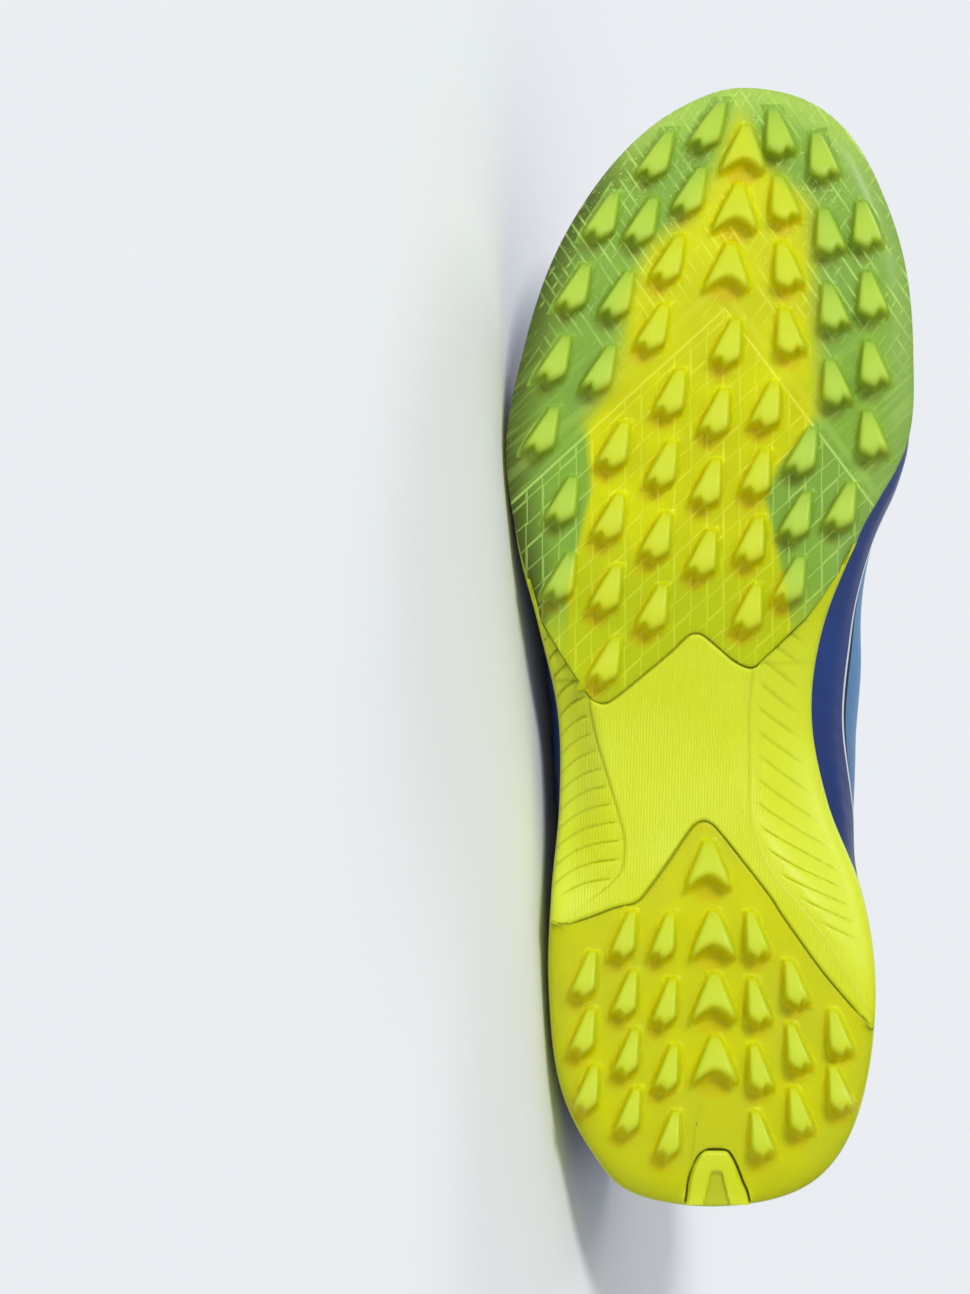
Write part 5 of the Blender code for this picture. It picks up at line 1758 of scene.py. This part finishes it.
class TURF_OT_tongue(bpy.types.Operator):
    """Build the padded tongue"""

    bl_idname = "turf.tongue"
    bl_label = "Tongue"

    def execute(self, context):
        look = context.scene.turf_upper
        sections = self.sections()
        rows = [(index, *(number for point in ring for number in point))
                for index, ring in enumerate(sections)]
        around = len(sections[0])
        steps = 72
        lofted = []
        for step in range(steps + 1):
            values = hermite(rows, step * (len(rows) - 1) / steps)
            ring = [Vector(values[3 * index:3 * index + 3]) for index in range(around)]
            closed = [(index, *point) for index, point in enumerate(ring)]
            lofted.append((closed, sum(ring, Vector()) / around))
        count = 136

        away = (lofted[0][1] - lofted[2][1]).normalized()
        ends = {-2: (0.0, 0.0008), -1: (0.7, 0.0005), steps + 1: (0.6, 0.0), steps + 2: (0.0, 0.0)}

        def place(u, v):
            row = round(v * (steps + 4)) - 2
            ring = lofted[min(max(row, 0), steps)][0]
            spot = (u % 1.0) * around
            face, back = (Vector(hermite(ring, at % around, float(around), True))
                          for at in (spot, around - 1 - spot))
            open_share, push = ends.get(row, (1.0, 0.0))
            return back.lerp(face, 0.5 + open_share / 2) + away * push

        mesh = new_mesh()
        bent_grid(mesh, count, steps + 4, place)
        finish = knit_finish("tongue_knit", look.lining, colour("304A80"), 0.35)
        piece = finish_piece("tongue_pad", mesh, [finish], "tongue_fabric", ["tongue"], 60)
        return {"FINISHED"}

    def sections(self):
        """Closed rings across the tongue, from its crest down the throat."""
        across, lengthways = 16, 10
        parts = [part / across for part in range(across + 1)]
        top_depth = WALL + GAP * 2
        first, last = TONGUE[0][0], TONGUE[-1][0]
        made = []
        for step in range(lengthways):
            along = first + (last - first) * step / (lengthways - 1)
            tuck, thickness = hermite(TONGUE, along)
            outer = [throat_bridge(along, part, top_depth, tuck) for part in parts]
            inner = []
            for part, point in zip(parts, outer):
                under = throat_bridge(along, part, top_depth + TONGUE_THICKNESS, tuck) - point
                rim = 0.30 + 0.70 * math.sqrt(smooth(min(part, 1 - part) * 6))
                inner.append(point + under * (thickness * rim))
            made.append((outer, inner))
        middle = sum(made[0][0], Vector()) / len(parts)
        root = made[0]
        for height, back, width in TONGUE_CREST:
            move = Vector((0.0, -back, height)) * (TONGUE_TOP / 2)
            crest = []
            for line in root:
                crest.append([Vector((middle.x + (point.x - middle.x) * width, point.y, point.z))
                              + move for point in line])
            made.insert(0, tuple(crest))
        return [outer + inner[::-1] for outer, inner in made]


class TURF_OT_lace(bpy.types.Operator):
    """Build the criss-cross of flat lace"""

    bl_idname = "turf.lace"
    bl_label = "Lace"

    def execute(self, context):
        look = context.scene.turf_upper
        mesh = new_mesh()
        last = EYELET_PAIRS - 1
        self.strand(mesh, last, last, 0.0, look.lace_width)
        for low in range(last, 0, -1):
            self.strand(mesh, low, low - 1, 0.0, look.lace_width)
            self.strand(mesh, low - 1, low, 0.0010, look.lace_width)
        finish = lace_finish(look.lace)
        finish_piece("lace_cross", mesh, [finish], "lace_cord", ["lace"], 60)
        return {"FINISHED"}

    def strand(self, mesh, outer_index, inner_index, lift, width):
        """One flat strand from an outer eyelet to an inner one, its ends in the holes."""
        start, end = eyelet_along(outer_index), eyelet_along(inner_index)
        shares = (eyelet_place("outer", outer_index)[1], eyelet_place("inner", inner_index)[1])
        clear, dip, half_thick = 0.0013, 0.0034, 0.00062

        def stop(v):
            part = min(max((v - 0.06) / 0.88, 0.0), 1.0)
            return part, start + (end - start) * part, shares[0] + (shares[1] - shares[0]) * part

        def spot(v):
            part, along, share = stop(v)
            over = math.sin(math.pi * part)
            return throat_bridge(along, part, -clear - lift * over, share)

        def path(v):
            point = spot(v)
            edge = 0.03
            run = spot(min(v + edge, 1.0)) - spot(max(v - edge, 0.0))
            part, along, share = stop(v)
            lengthways = (throat_bridge(along - 0.02, part, -clear, share)
                          - throat_bridge(along + 0.02, part, -clear, share))
            up = lengthways.cross(run).normalized()
            up = up if up.z > 0 else -up
            dive = smooth(1 - min(v, 1 - v) / 0.06)
            return point - up * (dip * dive), up

        def place(u, v):
            point, up = path(v)
            ahead = path(min(v + 0.01, 1.0))[0] - path(max(v - 0.01, 0.0))[0]
            side = ahead.cross(up).normalized()
            lift_up = side.cross(ahead).normalized()
            narrow = 1 - 0.45 * smooth(1 - min(v, 1 - v) / 0.09)
            angle = 2 * math.pi * u
            flat = math.copysign(abs(math.cos(angle)) ** 0.5, math.cos(angle))
            end = 0.05 if v in (0.0, 1.0) else 1.0
            return (point + side * (flat * width / 2 * narrow * end)
                    + lift_up * (math.sin(angle) * half_thick * end))

        bent_grid(mesh, 20, 56, place)


def aim(item, spot, target, top):
    """Point a light or camera at a target with a given way up."""
    back = (spot - target).normalized()
    side = top.cross(back).normalized()
    turned = Matrix((side, back.cross(side), back)).transposed().to_4x4()
    item.matrix_world = Matrix.Translation(spot) @ turned


def add_sun(name, way, softness, strength):
    """Even light from one direction, with soft shadows."""
    data = bpy.data.lights.new(name, "SUN")
    data.angle = math.radians(softness)
    data.energy = strength
    light = bpy.data.objects.new(name, data)
    bpy.context.scene.collection.objects.link(light)
    aim(light, way * 2.0, Vector(), Vector((0.0, 0.02, 1.0)))


# What the camera sees, in the shoe's own frame, and where the light comes from
VIEW_CENTRE = Vector((0.0570, 0.13975, 0.0070))
VIEW_HEIGHT = 0.3235
KEY_WAY = Vector((-0.40, 0.66, -1.0))
BACK_WAY = Vector((0.78, 0.42, 0.46))
BACK_SHARE = 0.3
SKY_STRENGTH = 0.60


class TURF_OT_stage(bpy.types.Operator):
    """Set the floor, the camera and the studio light"""

    bl_idname = "turf.stage"
    bl_label = "Stage"

    def execute(self, context):
        stage = context.scene.turf_stage
        context.scene.view_settings.view_transform = "Standard"
        self.ground_and_sky(context.scene, stage.floor)
        self.camera(context.scene, stage.lens)
        key = (SHOE.to_3x3() @ KEY_WAY).normalized()
        add_sun("key", key, 13, stage.key)
        add_sun("back", BACK_WAY.normalized(), 20, stage.key * BACK_SHARE)
        return {"FINISHED"}

    def ground_and_sky(self, scene, tone):
        """Studio floor and the even light of the room."""
        mesh = bmesh.new()
        bmesh.ops.create_grid(mesh, x_segments=8, y_segments=8, size=8.0)
        floor = new_object("studio_floor", mesh)
        floor.data.materials.append(floor_finish(tone))
        world = bpy.data.worlds.new("studio")
        world.use_nodes = True
        sky = world.node_tree.nodes["Background"]
        sky.inputs["Color"].default_value = (*colour("EEF2F6"), 1.0)
        sky.inputs["Strength"].default_value = SKY_STRENGTH
        scene.world = world

    def camera(self, scene, lens):
        """Camera that looks straight at the sole, toe up."""
        camera = bpy.data.cameras.new("camera")
        camera.lens = lens
        camera.clip_end = 100.0
        holder = bpy.data.objects.new("camera", camera)
        scene.collection.objects.link(holder)
        scene.camera = holder
        target = SHOE @ VIEW_CENTRE
        distance = VIEW_HEIGHT / 2 / (camera.sensor_width / 2 / camera.lens)
        turned = SHOE.to_3x3()
        toe_up = turned @ Vector((0.0, 1.0, 0.0))
        aim(holder, target - turned @ Vector((0.0, 0.0, distance)), target, toe_up)


class TURF_PT_panel(bpy.types.Panel):
    """Lists the builders in the sidebar"""

    bl_idname = "TURF_PT_panel"
    bl_label = "Turf Shoe"
    bl_space_type = "VIEW_3D"
    bl_region_type = "UI"
    bl_category = "Turf Shoe"

    def draw(self, context):
        for step in STEPS:
            self.layout.operator("turf." + step)


STEPS = ("stage", "outsoles", "midsole", "upper", "insole", "tongue", "lace")
CLASSES = (SoleSettings, UpperSettings, StageSettings, TURF_OT_outsoles, TURF_OT_midsole,
           TURF_OT_upper, TURF_OT_insole, TURF_OT_tongue, TURF_OT_lace, TURF_OT_stage,
           TURF_PT_panel)


def register():
    """Add the classes and their settings."""
    for kind in CLASSES:
        bpy.utils.register_class(kind)
    bpy.types.Scene.turf_sole = bpy.props.PointerProperty(type=SoleSettings)
    bpy.types.Scene.turf_upper = bpy.props.PointerProperty(type=UpperSettings)
    bpy.types.Scene.turf_stage = bpy.props.PointerProperty(type=StageSettings)


def unregister():
    """Take the settings and classes away."""
    del bpy.types.Scene.turf_stage
    del bpy.types.Scene.turf_upper
    del bpy.types.Scene.turf_sole
    for kind in reversed(CLASSES):
        bpy.utils.unregister_class(kind)


def main():
    """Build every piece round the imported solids."""
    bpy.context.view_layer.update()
    register()
    for step in STEPS:
        getattr(bpy.ops.turf, step)()
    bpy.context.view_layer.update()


if __name__ == "__main__":
    main()
